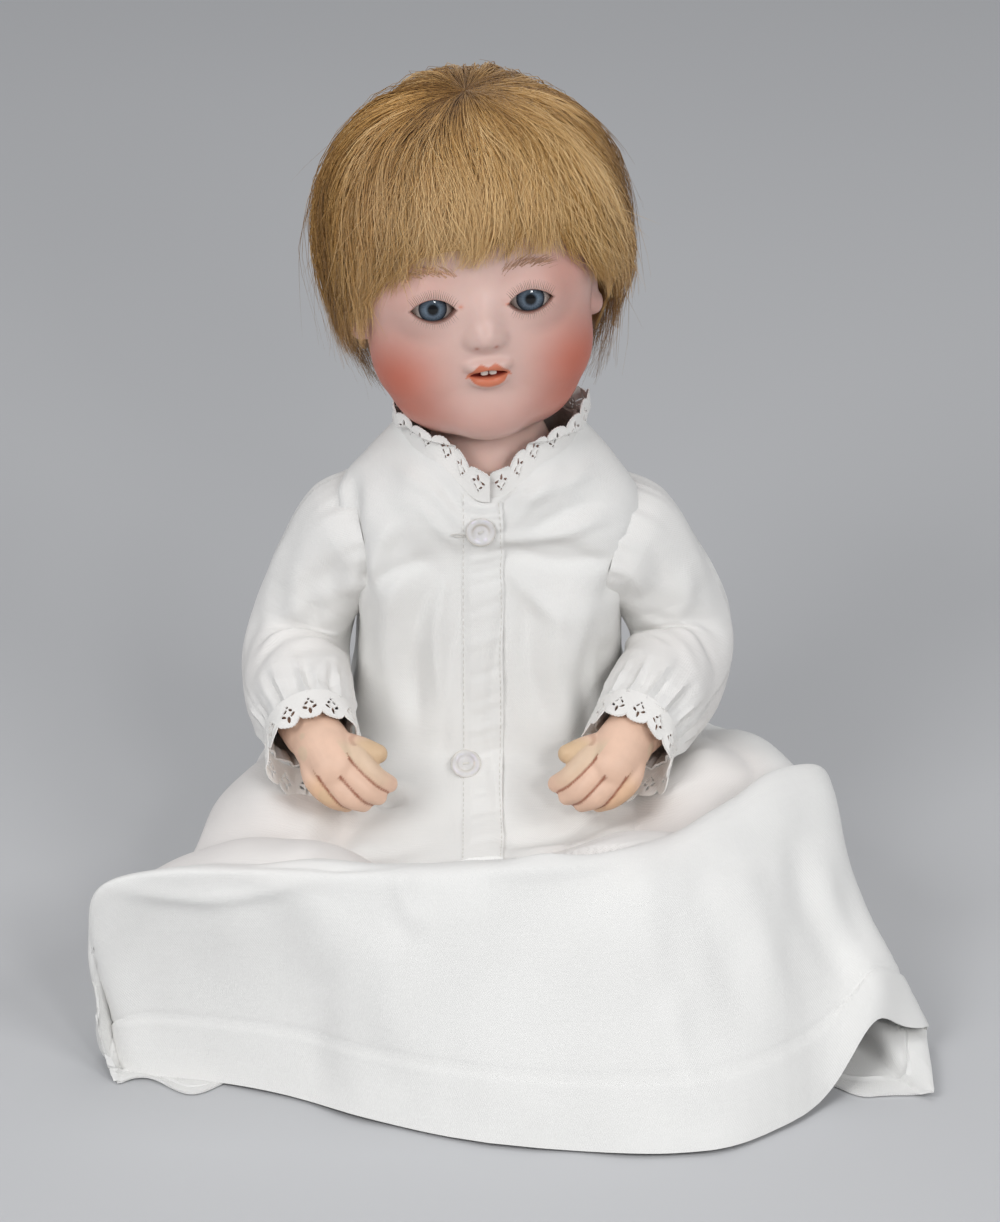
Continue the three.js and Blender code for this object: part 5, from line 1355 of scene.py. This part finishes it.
BATCHES = [  # strands, where they begin and end on the way to the edge, layers, looseness
    (PER_PIECE, (0.02, 0.3), (0.93, 1.0), (0.95, 0.98), 0.0),
    (PER_PIECE, (0.05, 0.5), (0.9, 1.0), (0.955, 0.985), 0.004),
    (PER_PIECE, (0.4, 0.75), (0.88, 1.02), (0.96, 0.99), 0.008),
    (PER_PIECE, (0.2, 0.5), (0.65, 0.95), (0.965, 1.0), 0.012),
    (PER_PIECE, (0.0, 0.12), (0.45, 0.7), (0.965, 1.0), 0.015),
    (PER_PIECE, (0.02, 0.35), (0.55, 0.9), (0.97, 1.01), 0.02),
    (PER_PIECE, (0.3, 0.7), (0.8, 1.02), (0.97, 1.005), 0.02),
    (LOOSE_HAIRS, (0.05, 0.8), (0.6, 1.02), (0.99, 1.04), 0.085),
]
for number, (count, *rest) in enumerate(BATCHES):
    paths, taper, colours = lay_hair(number, count, *rest)
    looks = {"sides": 3, "thickness": HAIR_THICK if count == PER_PIECE else LOOSE_THICK, "finish": mohair}
    piece = sweep_strands(f"wig_hair_{number + 1}", paths, taper, colours, **looks)
    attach(piece, "head")
print("hair:", sum(b[0] for b in BATCHES), "strands in", LOCKS, "locks")

# %% [markdown]
# ## Arms and hands
# Each arm is a bent composition limb with a moulded hand. Rounded limbs for palm, fingers and thumb are
# merged on a fine voxel grid and smoothed. The paint is peach, rubbed to beige and ochre where the hand is
# handled. Red-brown painted shade lies in thin lines between the fingers, in the crease of the thumb and at
# the wrist under the cuff.

# %% Arms
FINGERS = [(7.6, 20, 28, 3.5), (2.6, 21, 30, 3.6), (-2.5, 20.5, 29.5, 3.5), (-7.2, 19, 26.5, 3.2)]
LIMB_STEPS, LIMB_SIDES, CAP_RINGS = 30, 24, 6
VOXEL = 0.64
PEACH = np.array([0.80, 0.545, 0.41])
WORN = np.array([0.68, 0.54, 0.38])
OCHRE = np.array([0.60, 0.37, 0.16])
# painted shade: red-brown for the grooves between the fingers, the thumb's crease and the wrist under the cuff
GROOVE_SHADE_RED = np.array([0.30, 0.095, 0.05])


def limb_shell(path, radii):
    """A closed tube with round ends along a path, in mm."""
    line = curve_through(path, LIMB_STEPS)
    size = curve_through(np.array(radii, float)[:, None], LIMB_STEPS)[:, 0]
    along = unit(np.gradient(line, axis=0))
    caps = np.radians(np.linspace(-90, 0, CAP_RINGS + 1)[:-1])
    rings, sizes = list(line), list(size)
    for end, angles in ((0, caps), (-1, -caps[::-1])):
        reach = [line[end] + along[end] * size[end] * math.sin(a) for a in angles]
        girth = [size[end] * math.cos(a) + 0.01 for a in angles]
        rings, sizes = (rings + reach, sizes + girth) if end else (reach + rings, girth + sizes)
    rings, sizes = np.array(rings), np.array(sizes)
    ways = np.concatenate([np.repeat(along[:1], CAP_RINGS, 0), along, np.repeat(along[-1:], CAP_RINGS, 0)])
    first = np.array([0.3, 0.2, 0.93]) if abs(along[0][2]) < 0.8 else np.array([0.9, 0.4, 0.1])
    u = unit(np.cross(ways, first))
    v = np.cross(ways, u)
    turn = np.arange(LIMB_SIDES) / LIMB_SIDES * 2 * math.pi
    ring = np.cos(turn)[None, :, None] * u[:, None] + np.sin(turn)[None, :, None] * v[:, None]
    body = rings[:, None] + sizes[:, None, None] * ring
    wheel = list(range(LIMB_SIDES))
    last = (len(rings) - 1) * LIMB_SIDES
    return body.reshape(-1, 3), grid_faces(len(rings), LIMB_SIDES).tolist() + [wheel[::-1], [last + k for k in wheel]]


def line_distance(points, line):
    line = curve_through(line, 40)
    return np.sqrt(((points[:, None] - line[None]) ** 2).sum(-1)).min(1)


composition, tree, sockets = start_material("painted_composition", Roughness=0.5, Specular_IOR_Level=0.4)
worn = mottled(tree, sockets, attribute(tree, "paint"), 120.0, 0.93, 1.05)
tree.links.new(raised(tree, worn["Grain"], 0.0002, 0.25), sockets["Normal"])

for side, name in SIDES:
    along, thumb, back = hand_axes(side)
    wrist = np.array(WRIST[side], float)

    def at(f, t, b):
        return wrist + along * f + thumb * t + back * b

    fingers = [
        [at(k - 8, t * 0.8, 2), at(k, t * 1.06, 1.6), at(tip - 2, t * 1.06 + 2, -3), at(tip - 0.5, t * 1.02 + 5, -8.5)]
        for t, k, tip, r in FINGERS
    ]
    thick = [r for t, k, tip, r in FINGERS]
    thumb_line = [at(10, 4.5, 1), at(16, 10.5, 0), at(20, 14.5, -1.5)]
    shells = [limb_shell(arm_line(side), [15, 13.5, 12.3, 12.3, 11.1, 9.5])]
    shells += [limb_shell([at(-2, 0, 0), at(8, 0.5, 1), at(17, 0, 1)], [8.4, 9.4, 8.6])]
    shells += [limb_shell(line, [r * 1.02, r * 1.06, r, r * 0.84]) for line, r in zip(fingers, thick)]
    shells += [limb_shell(thumb_line, [4.6, 4.1, 3.2])]
    faces, total = [], 0
    for body, quads in shells:
        faces += [[k + total for k in face] for face in quads]
        total += len(body)
    piece = make_piece(f"{name}_arm_shape", np.concatenate([body for body, quads in shells]), faces, composition)
    merge = piece.modifiers.new("merge", "REMESH")
    merge.mode = "VOXEL"
    merge.voxel_size = VOXEL * MM
    ease = piece.modifiers.new("ease", "SMOOTH")
    ease.factor = 0.5
    ease.iterations = 4
    finish_shape(piece)
    shade_smooth(piece)
    p = points_of(piece)
    near = np.stack([line_distance(p, line) / r for line, r in zip(fingers, thick)], 1)
    order = np.sort(near, 1)
    which = near.argmin(1)
    f, t, b = (p - wrist) @ along, (p - wrist) @ thumb, (p - wrist) @ back
    tint = np.repeat(PEACH[None], len(p), 0)
    rub = np.random.default_rng(60 + side)
    patch = np.zeros(len(p))
    for _ in range(16):
        rubbed = np.array([rub.uniform(6, 32), rub.uniform(-9, 10), rub.uniform(-8, 9)])
        away = np.linalg.norm(np.stack([f, t, b], 1) - rubbed, axis=1)
        patch = np.maximum(patch, bump(away, rub.uniform(1.2, 3.4)))
    index_rub = (which == 0) * smoothstep(0.75, 1.15, near[:, 0]) * smoothstep(12, 18, f)
    index_rub = index_rub * smoothstep(-4, 1, b + 0.3 * t)
    tip_of_thumb = line_distance(p, thumb_line[1:])
    # painted shade in the grooves between the fingers and in the crease of the thumb
    finger_gap_shade = smoothstep(0.24, 0.07, order[:, 1] - order[:, 0]) * smoothstep(11, 14, f) * (order[:, 0] < 1.5)
    crease = smoothstep(0.9, 0.2, np.abs(tip_of_thumb - 5.2)) * (f > 9) * (f < 17) * (t > 3)
    for colour, amount in (
        (WORN, 0.55 * smoothstep(0.35, 0.6, patch)),
        (WORN, 0.75 * index_rub),
        (OCHRE, 0.4 * (which == 3) * smoothstep(17, 23, f) * smoothstep(0.5, 0.9, near[:, 3])),
        (OCHRE, 0.4 * smoothstep(5.2, 3.6, tip_of_thumb) * smoothstep(13, 17, f) * (t > 8)),
        # the last three are painted shade: between the fingers, in the thumb's crease, and at the wrist under the cuff
        (GROOVE_SHADE_RED, 0.9 * finger_gap_shade),
        (GROOVE_SHADE_RED, 0.35 * crease),
        (GROOVE_SHADE_RED, 0.3 * smoothstep(3, -2, f)),
    ):
        tint = blend_in(tint, colour, amount)
    paint(piece, "paint", tint)
    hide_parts(f"{name}_arm")
    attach(piece, f"{name}_arm")
    print(piece.name, len(piece.data.polygons), "faces")

# %% [markdown]
# ## Eyelet lace at the neck and the wrists
# One flat scallop with leaf-shaped holes is cut from a triangulated sheet. Geometry Nodes set it in a row as
# often as the band needs and join the row. The row is then bent round the neckline or the wrist, with
# waves that grow toward the free edge, and thickened. Stitching round the holes stands a little proud.

# %% One scallop, and the tree that repeats it
SCALLOP, LACE_HIGH = 8.2, 10.5
SCALLOP_RISE = 2.3
LACE_THICK = 0.4
LATTICE = 0.5
LEAVES = [  # place across and up the scallop, as shares; half length and half width in mm; turn in degrees
    (0.5, 0.74, 1.15, 0.55, 90), (0.3, 0.6, 1.0, 0.45, 35), (0.7, 0.6, 1.0, 0.45, 145), (0.38, 0.44, 0.8, 0.38, -40),
    (0.62, 0.44, 0.8, 0.38, 220), (0.5, 0.33, 0.42, 0.42, 0),
]


def leaf_outline(u, v, long, wide, turn):
    a = np.linspace(0, 2 * math.pi, 14, endpoint=False)
    x, y = long * np.cos(a), wide * np.sin(a) * (1 - 0.25 * np.cos(a))
    c, s = math.cos(math.radians(turn)), math.sin(math.radians(turn))
    return np.stack([u * SCALLOP + x * c - y * s, v * LACE_HIGH + x * s + y * c], 1)


def scallop_top(u):
    arch = SCALLOP_RISE * np.sqrt(np.clip(np.sin(math.pi * u / SCALLOP), 0, 1))
    return LACE_HIGH - SCALLOP_RISE + arch + 0.12 * np.cos(u / SCALLOP * 2 * math.pi * 7)


def inside(points, outline):
    hit = np.zeros(len(points), bool)
    for (x0, y0), (x1, y1) in zip(outline, np.roll(outline, -1, 0)):
        crosses = (y0 > points[:, 1]) != (y1 > points[:, 1])
        hit ^= crosses & (points[:, 0] < (x1 - x0) * (points[:, 1] - y0) / (y1 - y0 + 1e-12) + x0)
    return hit


def outline_gap(points, outline):
    return np.linalg.norm(points[:, None] - outline[None], axis=2).min(1)


side_rows = np.linspace(0, scallop_top(0.0), 16)
border = [(0, v) for v in side_rows[:-1]] + [(u, scallop_top(u)) for u in np.linspace(0, SCALLOP, 31)]
border += [(SCALLOP, v) for v in side_rows[::-1][1:]] + [(u, 0) for u in np.linspace(SCALLOP, 0, 15)[1:-1]]
border = np.array(border)
holes = [leaf_outline(*leaf) for leaf in LEAVES]
lattice = np.meshgrid(np.arange(0.4, SCALLOP, LATTICE), np.arange(0.4, LACE_HIGH, LATTICE))
lattice = np.stack(lattice, -1).reshape(-1, 2)
lattice[:, 0] += 0.13 * np.sin(lattice[:, 1] * 7)
keep = inside(lattice, border) & (lattice[:, 1] < scallop_top(lattice[:, 0]) - 0.25)
for hole in holes:
    keep &= (outline_gap(lattice, hole) > 0.28) & ~inside(lattice, hole)
loops = [border] + holes
edges, first = [], 0
for loop in loops:
    edges += [(first + k, first + (k + 1) % len(loop)) for k in range(len(loop))]
    first += len(loop)
cut = delaunay_2d_cdt([Vector(p) for p in np.concatenate(loops + [lattice[keep]])], edges, [], 0, 1e-6)
flat = np.array([tuple(p) for p in cut[0]])
triangles = np.array([tuple(f) for f in cut[2]])
centres = flat[triangles].mean(1)
good = inside(centres, border)
for hole in holes:
    good &= ~inside(centres, hole)
triangles = triangles[good]
a, b, c = (flat[triangles[:, k]] for k in range(3))
flipped = np.cross(b - a, c - a) < 0
triangles[flipped] = triangles[flipped][:, ::-1]
near_hole = np.min([outline_gap(flat, hole) for hole in holes], axis=0)
near_edge = np.abs(flat[:, 1] - scallop_top(np.clip(flat[:, 0], 0, SCALLOP)))
proud = 0.22 * bump(near_hole, 0.35) + 0.25 * bump(near_edge, 0.5)


def row_tree():
    tree, given = start_geometry("scallop_row", "Scallop", "Row", Count="Int", Spacing="Float")
    step = add_node(tree, "ShaderNodeCombineXYZ", X=given["Spacing"]).outputs[0]
    line = add_node(tree, "GeometryNodeMeshLine", Count=given["Count"], Offset=step).outputs[0]
    placed = add_node(tree, "GeometryNodeInstanceOnPoints", Points=line, Instance=given["Scallop"]).outputs[0]
    real = add_node(tree, "GeometryNodeRealizeInstances", Geometry=placed).outputs[0]
    joined = add_node(tree, "GeometryNodeMergeByDistance", Geometry=real, Distance=2e-5).outputs[0]
    return end_geometry(tree, given, joined)


SCALLOP_ROW = row_tree()
lace_cotton = cotton_material("eyelet_cotton", (0.82, 0.81, 0.785, 1), 3.0)


def lace_band(name, count, bend):
    """A row of scallops bent by a function of the length along it, the height and the proudness, in mm."""
    piece = make_piece(name, np.column_stack([flat, proud]), triangles)
    run_tree(piece, SCALLOP_ROW, Count=count, Spacing=SCALLOP * MM, Finish=lace_cotton)
    row = points_of(piece)
    lay_uv(piece, row[:, :2])
    set_points(piece, bend(row[:, 0], row[:, 1], row[:, 2]))
    paint(piece, "warmth", np.full(len(row), 0.02))
    shade_smooth(piece)
    area = cloth_area(piece)
    thicken(piece, LACE_THICK)
    print(name, count, "scallops, area", round(area, 5), "m2")
    return piece, area


print("scallop:", len(triangles), "triangles,", len(holes), "holes")

# %% The collar
neck_ring = np.concatenate([gown_sheets[1][3], gown_sheets[-1][3][::-1][1:]])
neck_length = path_lengths(neck_ring)
FULLNESS = 16
COLLAR_SCALLOPS = int(round((neck_length[-1] + FULLNESS) / SCALLOP))
COLLAR_LONG = COLLAR_SCALLOPS * SCALLOP
HEAD_POSES = [(0, 0), (0, -15), (0, 6), (75, 0), (75, 6), (-75, 0), (-75, 6)]  # degrees of turn and nod
HEAD_GAP, MOST_ROOM = 0.7, 3.0


def head_room(points, out):
    """How far points move out to let the head pass as it turns and nods: as far as still looks right."""
    moved = np.zeros(len(points))
    for _ in range(6):
        need = np.zeros(len(points))
        for turn, nod in HEAD_POSES:
            pose = turned(math.radians(nod), 0, math.radians(turn)) @ HEAD_TURN
            need = np.maximum(need, HEAD_GAP - head_depth((points + out * moved[:, None] - NECK) @ pose))
        moved = np.minimum(moved + 0.8 * need, MOST_ROOM)
    return moved


def bend_collar(u, v, proud):
    s = u / COLLAR_LONG
    base = read_along(s * neck_length[-1], neck_length, neck_ring)
    out = unit(base * (1, 1, 0))
    share = v / LACE_HIGH
    sideways = np.abs(base[:, 0]) / 29
    lean = -0.12 - 0.06 * sideways + 0.1 * np.sin(s * 2 * math.pi * 5 + 1)
    waves = share**1.2 * (0.75 * np.sin(s * 2 * math.pi * COLLAR_SCALLOPS / 2) + 0.5 * noise_1d(s * 40, 71))
    ends = 0.9 * (smoothstep(0.94, 1, s) - smoothstep(0.06, 0, s)) + 0.4
    side_way = lean * v + waves + proud * 0.8 + ends
    lace = base + out * side_way[:, None] + np.stack([0 * v, 0 * v, v * np.sqrt(1 - lean**2) - 0.6], 1)
    return lace + out * (smoothstep(0, 0.4, share) * head_room(lace, out))[:, None]


collar, area = lace_band("lace_collar", COLLAR_SCALLOPS, bend_collar)
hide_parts("collar_ruffle")
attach(collar, "torso")

# %% The cuffs
CUFF_SCALLOPS = 13
CUFF_RADIUS, HAND_RADIUS = 15.0, 11.6
for side, name in SIDES:
    middle, along, up, forward = cuff_frames[side]
    hand = hand_axes(side)[0]
    way = unit(along + np.array([0, 0, -0.75]))

    def bend_cuff(u, v, proud):
        turn = u / (CUFF_SCALLOPS * SCALLOP) * 2 * math.pi
        share = v / LACE_HIGH
        waves = share**1.2 * (0.7 * np.sin(turn * 7 + side) + 0.4 * noise_1d(turn * 4, 81 + side))
        radius = CUFF_RADIUS + 0.8 * share + waves + proud * 0.8
        ring = np.cos(turn)[:, None] * up + np.sin(turn)[:, None] * forward
        spread = middle - along * 0.8 + way * v[:, None] + ring * radius[:, None]
        off = spread - middle
        off = off - (off @ hand)[:, None] * hand
        gap = np.linalg.norm(off, axis=1)
        return spread + off * (np.maximum(HAND_RADIUS + proud - gap, 0) / gap)[:, None]

    cuff, area = lace_band(f"lace_{name}_cuff", CUFF_SCALLOPS, bend_cuff)
    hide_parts(f"{name}_cuff")
    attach(cuff, f"{name}_arm")

# %% [markdown]
# ## Placket, buttons and stitches
# The placket is a doubled strip down the front: its free edge on one side stands a little proud and the
# other side is sewn down. Two pearl buttons close it. Stitches are one small thread shape that Geometry
# Nodes set along rows of points, each turned along its row.

# %% The placket
PLACKET_THICK = 1.1
STRIP_X = np.linspace(-9.0, 4.3, 34)
STRIP_TOP, STRIP_END = 503, 861  # heights in the picture


def front_point(r, x):
    """Points of the gown's front, on one of its rows, at given x."""
    row = np.concatenate([gown_sheets[-1][r][::-1], gown_sheets[1][r][1:]])
    front = row[HALF_ROUND // 2: -(HALF_ROUND // 2)]
    return read_along(x, front[:, 0], front)


strip_rows = []
for r in range(4, LENGTHWISE):
    places = front_point(r, STRIP_X)
    seen = picture_place(places[17:18])[0, 1]
    if STRIP_TOP < seen < STRIP_END and row_at[r] < 14:
        strip_rows.append(places)
strip = np.array(strip_rows)
strip_out = sheet_normals(strip, 10, 10)
share = np.linspace(0, 1, len(STRIP_X))[None, :]
length = np.linspace(0, 1, len(strip))[:, None]
puckers = 0.16 * noise_1d(length * 70 + share * 2, 91) * smoothstep(0.05, 0.3, share)
lift = 0.25 + 0.75 * smoothstep(0.0, 0.25, share) + puckers
lift = lift + 0.25 * smoothstep(0.85, 1, share) * noise_1d(length * 16, 92)
strip = strip + strip_out * lift[..., None]
placket = make_piece("placket_strip", strip.reshape(-1, 3), grid_faces(*strip.shape[:2], closed=False), cotton)
if np.mean([f.normal[1] for f in placket.data.polygons]) > 0:
    placket.data.flip_normals()
paint(placket, "warmth", np.zeros(strip.shape[0] * strip.shape[1]))
lay_uv(placket, cloth_map(strip))
thicken(placket, PLACKET_THICK)
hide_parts("button_placket")
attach(placket, "torso")

# %% Pearl buttons
BUTTON_FORM = [  # radius and height in mm, from the middle of the face round the rim to the middle of the back
    (0.0, 0.75), (1.9, 0.78), (2.5, 0.95), (2.95, 1.35), (3.5, 1.6), (4.2, 1.55), (4.7, 1.2), (4.9, 0.75), (4.6, 0.25),
    (3.6, 0.0), (0.0, 0.0),
]
BUTTON_SIDES, DRILL_SIDES = 72, 24
HOLE_X, HOLE_R = 0.95, 0.5
SEAT_GAP = 0.15
THREADS, THREAD_POINTS, THREAD_THICK = (-0.2, 0.0, 0.22), 13, 0.16
BUTTONS = (("upper_button", (481, 532), 0.5), ("lower_button", (466, 765), 0.15))  # place in the picture, turn
pearl, tree, sockets = start_material(
    "pearl_shell", Roughness=0.2, Specular_IOR_Level=0.6, Coat_Weight=0.35, Thin_Film_Thickness=320.0,
)
mottled(tree, sockets, (0.74, 0.735, 0.71, 1), 260.0, 0.86, 1.04)
thread_look, tree, sockets = start_material("white_thread", Roughness=0.8, Specular_IOR_Level=0.2)
mottled(tree, sockets, (0.72, 0.70, 0.66, 1), 500.0, 0.85, 1.05)


def strip_spot(x, y):
    """The point of the placket that falls at x, y in the picture, with its way out."""
    seen = picture_place(strip.reshape(-1, 3))
    k = np.linalg.norm(seen - (x, y), axis=1).argmin()
    return strip.reshape(-1, 3)[k], strip_out.reshape(-1, 3)[k]


def to_surface(points, seat, out, turn):
    """Moves a shape from the xy plane onto a seat whose way out is given, turned in its plane."""
    right = np.cross((0, 0, 1), out)
    right /= np.linalg.norm(right) * np.sign(right[0] or 1)
    up = np.cross(out, right)
    up *= np.sign(up[2])
    c, s = math.cos(turn), math.sin(turn)
    x, y = points[:, 0] * c - points[:, 1] * s, points[:, 0] * s + points[:, 1] * c
    return seat + x[:, None] * right + y[:, None] * up + points[:, 2:3] * out


spin = np.arange(BUTTON_SIDES) / BUTTON_SIDES * 2 * math.pi
drill_spin = np.arange(DRILL_SIDES) / DRILL_SIDES * 2 * math.pi
radii, heights = curve_through(BUTTON_FORM, 60)[1:-1].T
lathe = [np.outer(radii, np.cos(spin)), np.outer(radii, np.sin(spin)), np.outer(heights, np.ones(BUTTON_SIDES))]
lathe = np.concatenate([np.stack(lathe, -1).reshape(-1, 3), [(0, 0, 0.75), (0, 0, 0)]])
t = np.linspace(0, math.pi, THREAD_POINTS)
sewn = [np.stack([-HOLE_X * np.cos(t), np.full(len(t), w), 0.2 + 0.85 * np.sin(t) ** 0.5], 1) for w in THREADS]
sewn = np.concatenate(sewn)
for name, place, turn in BUTTONS:
    seat, out = strip_spot(*place)
    seat = seat + out * SEAT_GAP
    button = make_piece(f"{name}_shape", lathe, capped_faces(len(radii), BUTTON_SIDES), pearl, closed=True)
    drills = []
    for way in (-1, 1):
        ring = np.stack([way * HOLE_X + HOLE_R * np.cos(drill_spin), HOLE_R * np.sin(drill_spin)], 1)
        tube = np.concatenate([np.column_stack([ring, np.full(DRILL_SIDES, h)]) for h in (-1, 3)])
        ends = [list(range(DRILL_SIDES)), list(range(DRILL_SIDES, 2 * DRILL_SIDES))[::-1]]
        drills.append(make_piece("drill", tube, grid_faces(2, DRILL_SIDES).tolist() + ends, closed=True))
    carve(button, drills)
    button.data.materials.clear()
    button.data.materials.append(pearl)
    set_points(button, to_surface(points_of(button), seat, out, turn))
    button.data.set_sharp_from_angle(angle=0.7)
    loops = to_surface(sewn, seat, out, turn).reshape(len(THREADS), THREAD_POINTS, 3)
    taper, colours = np.ones(loops.shape[:2]), np.full(loops.shape, 0.6)
    looks = {"sides": 6, "thickness": THREAD_THICK, "finish": thread_look}
    thread = sweep_strands(f"{name}_thread", loops, taper, colours, **looks)
    for piece in (button, thread):
        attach(piece, "torso")
    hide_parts(name)
    print(button.name, len(button.data.polygons), "faces")

# %% Stitches
EDGE_ROWS = (("placket_sewn_edge", 1), ("placket_free_edge", 31))  # columns of the placket
BUTTONHOLE = (464, 536)  # place in the picture


def stitch_tree():
    tree, given = start_geometry("lay_stitches", "Places", "Stitches", Long="Float", Thick="Float")
    ball = add_node(tree, "GeometryNodeMeshUVSphere", Segments=8, Rings=6, Radius=0.5).outputs[0]
    size = add_node(tree, "ShaderNodeCombineXYZ", X=given["Thick"], Y=given["Thick"], Z=given["Long"]).outputs[0]
    lie = add_node(tree, "GeometryNodeInputNamedAttribute", {"data_type": "FLOAT_VECTOR"}, Name="lie").outputs[0]
    turn = add_node(tree, "FunctionNodeAlignRotationToVector", {"axis": "Z"}, Vector=lie).outputs[0]
    sockets = {"Points": given["Places"], "Instance": ball, "Rotation": turn, "Scale": size}
    placed = add_node(tree, "GeometryNodeInstanceOnPoints", **sockets).outputs[0]
    real = add_node(tree, "GeometryNodeRealizeInstances", Geometry=placed).outputs[0]
    return end_geometry(tree, given, add_node(tree, "GeometryNodeSetShadeSmooth", Geometry=real).outputs[0])


STITCH_TREE = stitch_tree()


def stitch_row(name, line, gap, long, thick):
    """Stitches at even gaps along a line of points, in mm."""
    lengths = path_lengths(line)
    at = np.arange(gap / 2, lengths[-1], gap)
    piece = new_piece(name, read_along(at, lengths, line))
    ways = read_along(at, lengths, np.gradient(line, axis=0))
    layer = piece.data.attributes.new("lie", "FLOAT_VECTOR", "POINT")
    layer.data.foreach_set("vector", ways.astype(np.float32).ravel())
    run_tree(piece, STITCH_TREE, Long=long * MM, Thick=thick * MM, Finish=thread_look)
    return piece


for name, column in EDGE_ROWS:
    edge = strip[:, column] + strip_out[:, column] * 0.05
    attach(stitch_row(name, edge, gap=2.2, long=1.6, thick=0.3), "torso")
seat, out = strip_spot(*BUTTONHOLE)
t = np.linspace(0, 2 * math.pi, 60)
hole_ring = np.stack([-1.8 + 2.6 * np.cos(t), 0.55 * np.sin(t), np.full(len(t), 0.1)], 1)
hole_ring = to_surface(hole_ring, seat, out, -0.12)
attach(stitch_row("buttonhole_stitches", hole_ring, gap=0.35, long=0.6, thick=0.34), "torso")
print("stitches laid")

# %% [markdown]
# ## Pieces inside the doll
# Torso, legs, elastics, hooks and the works of the sleeping eyes keep the shapes of the CAD model. Each gets
# a finish of its own, patterned in object space.

# %% Finishes for the carried-over pieces
def plain_finish(name, colour, scale, low, high, rough, metal=0.0, depth=0.0001):
    material, tree, sockets = start_material(name, Roughness=rough, Metallic=metal)
    worn = mottled(tree, sockets, (*colour, 1), scale, low, high)
    tree.links.new(raised(tree, worn["Grain"], depth, 0.3), sockets["Normal"])
    return material


INNER = [  # nodes, then a finish: colour, scale, low and high of its mottle, roughness, metal, depth of its grain
    (("torso_shell", "left_leg", "right_leg"), plain_finish("body_paint", (0.64, 0.38, 0.25), 60.0, 0.9, 1.05, 0.5)),
    (("crown_pate",), plain_finish("pasteboard", (0.42, 0.33, 0.22), 150.0, 0.8, 1.1, 0.85)),
    (("mouth_lining",), plain_finish("red_felt", (0.16, 0.022, 0.018), 400.0, 0.6, 1.1, 0.95, 0.0, 0.0004)),
    (("left_eye_boss", "right_eye_boss"), plain_finish("plaster", (0.72, 0.70, 0.65), 200.0, 0.9, 1.03, 0.9)),
    (("cork_stop",), plain_finish("cork", (0.36, 0.21, 0.10), 300.0, 0.5, 1.2, 0.9, 0.0, 0.0005)),
    (("eye_weight",), plain_finish("lead", (0.17, 0.17, 0.18), 120.0, 0.8, 1.2, 0.55, 1.0)),
    (("neck_button",), plain_finish("turned_wood", (0.42, 0.27, 0.14), 90.0, 0.8, 1.1, 0.6)),
    (("neck_elastic", "arm_elastic", "leg_elastic"), plain_finish("elastic", (0.30, 0.26, 0.20), 500.0, 0.7, 1.1, 0.8)),
    (("eye_axle_wire", "neck_hook", "left_arm_hook", "right_arm_hook", "left_leg_hook", "right_leg_hook"),
     plain_finish("steel_wire", (0.45, 0.44, 0.42), 300.0, 0.85, 1.05, 0.35, 1.0)),
]
for names, finish in INNER:
    for node in names:
        mesh = bpy.data.objects[node].data
        mesh.materials.clear()
        mesh.materials.append(finish)
print("finished", sum(len(names) for names, finish in INNER), "inner pieces")
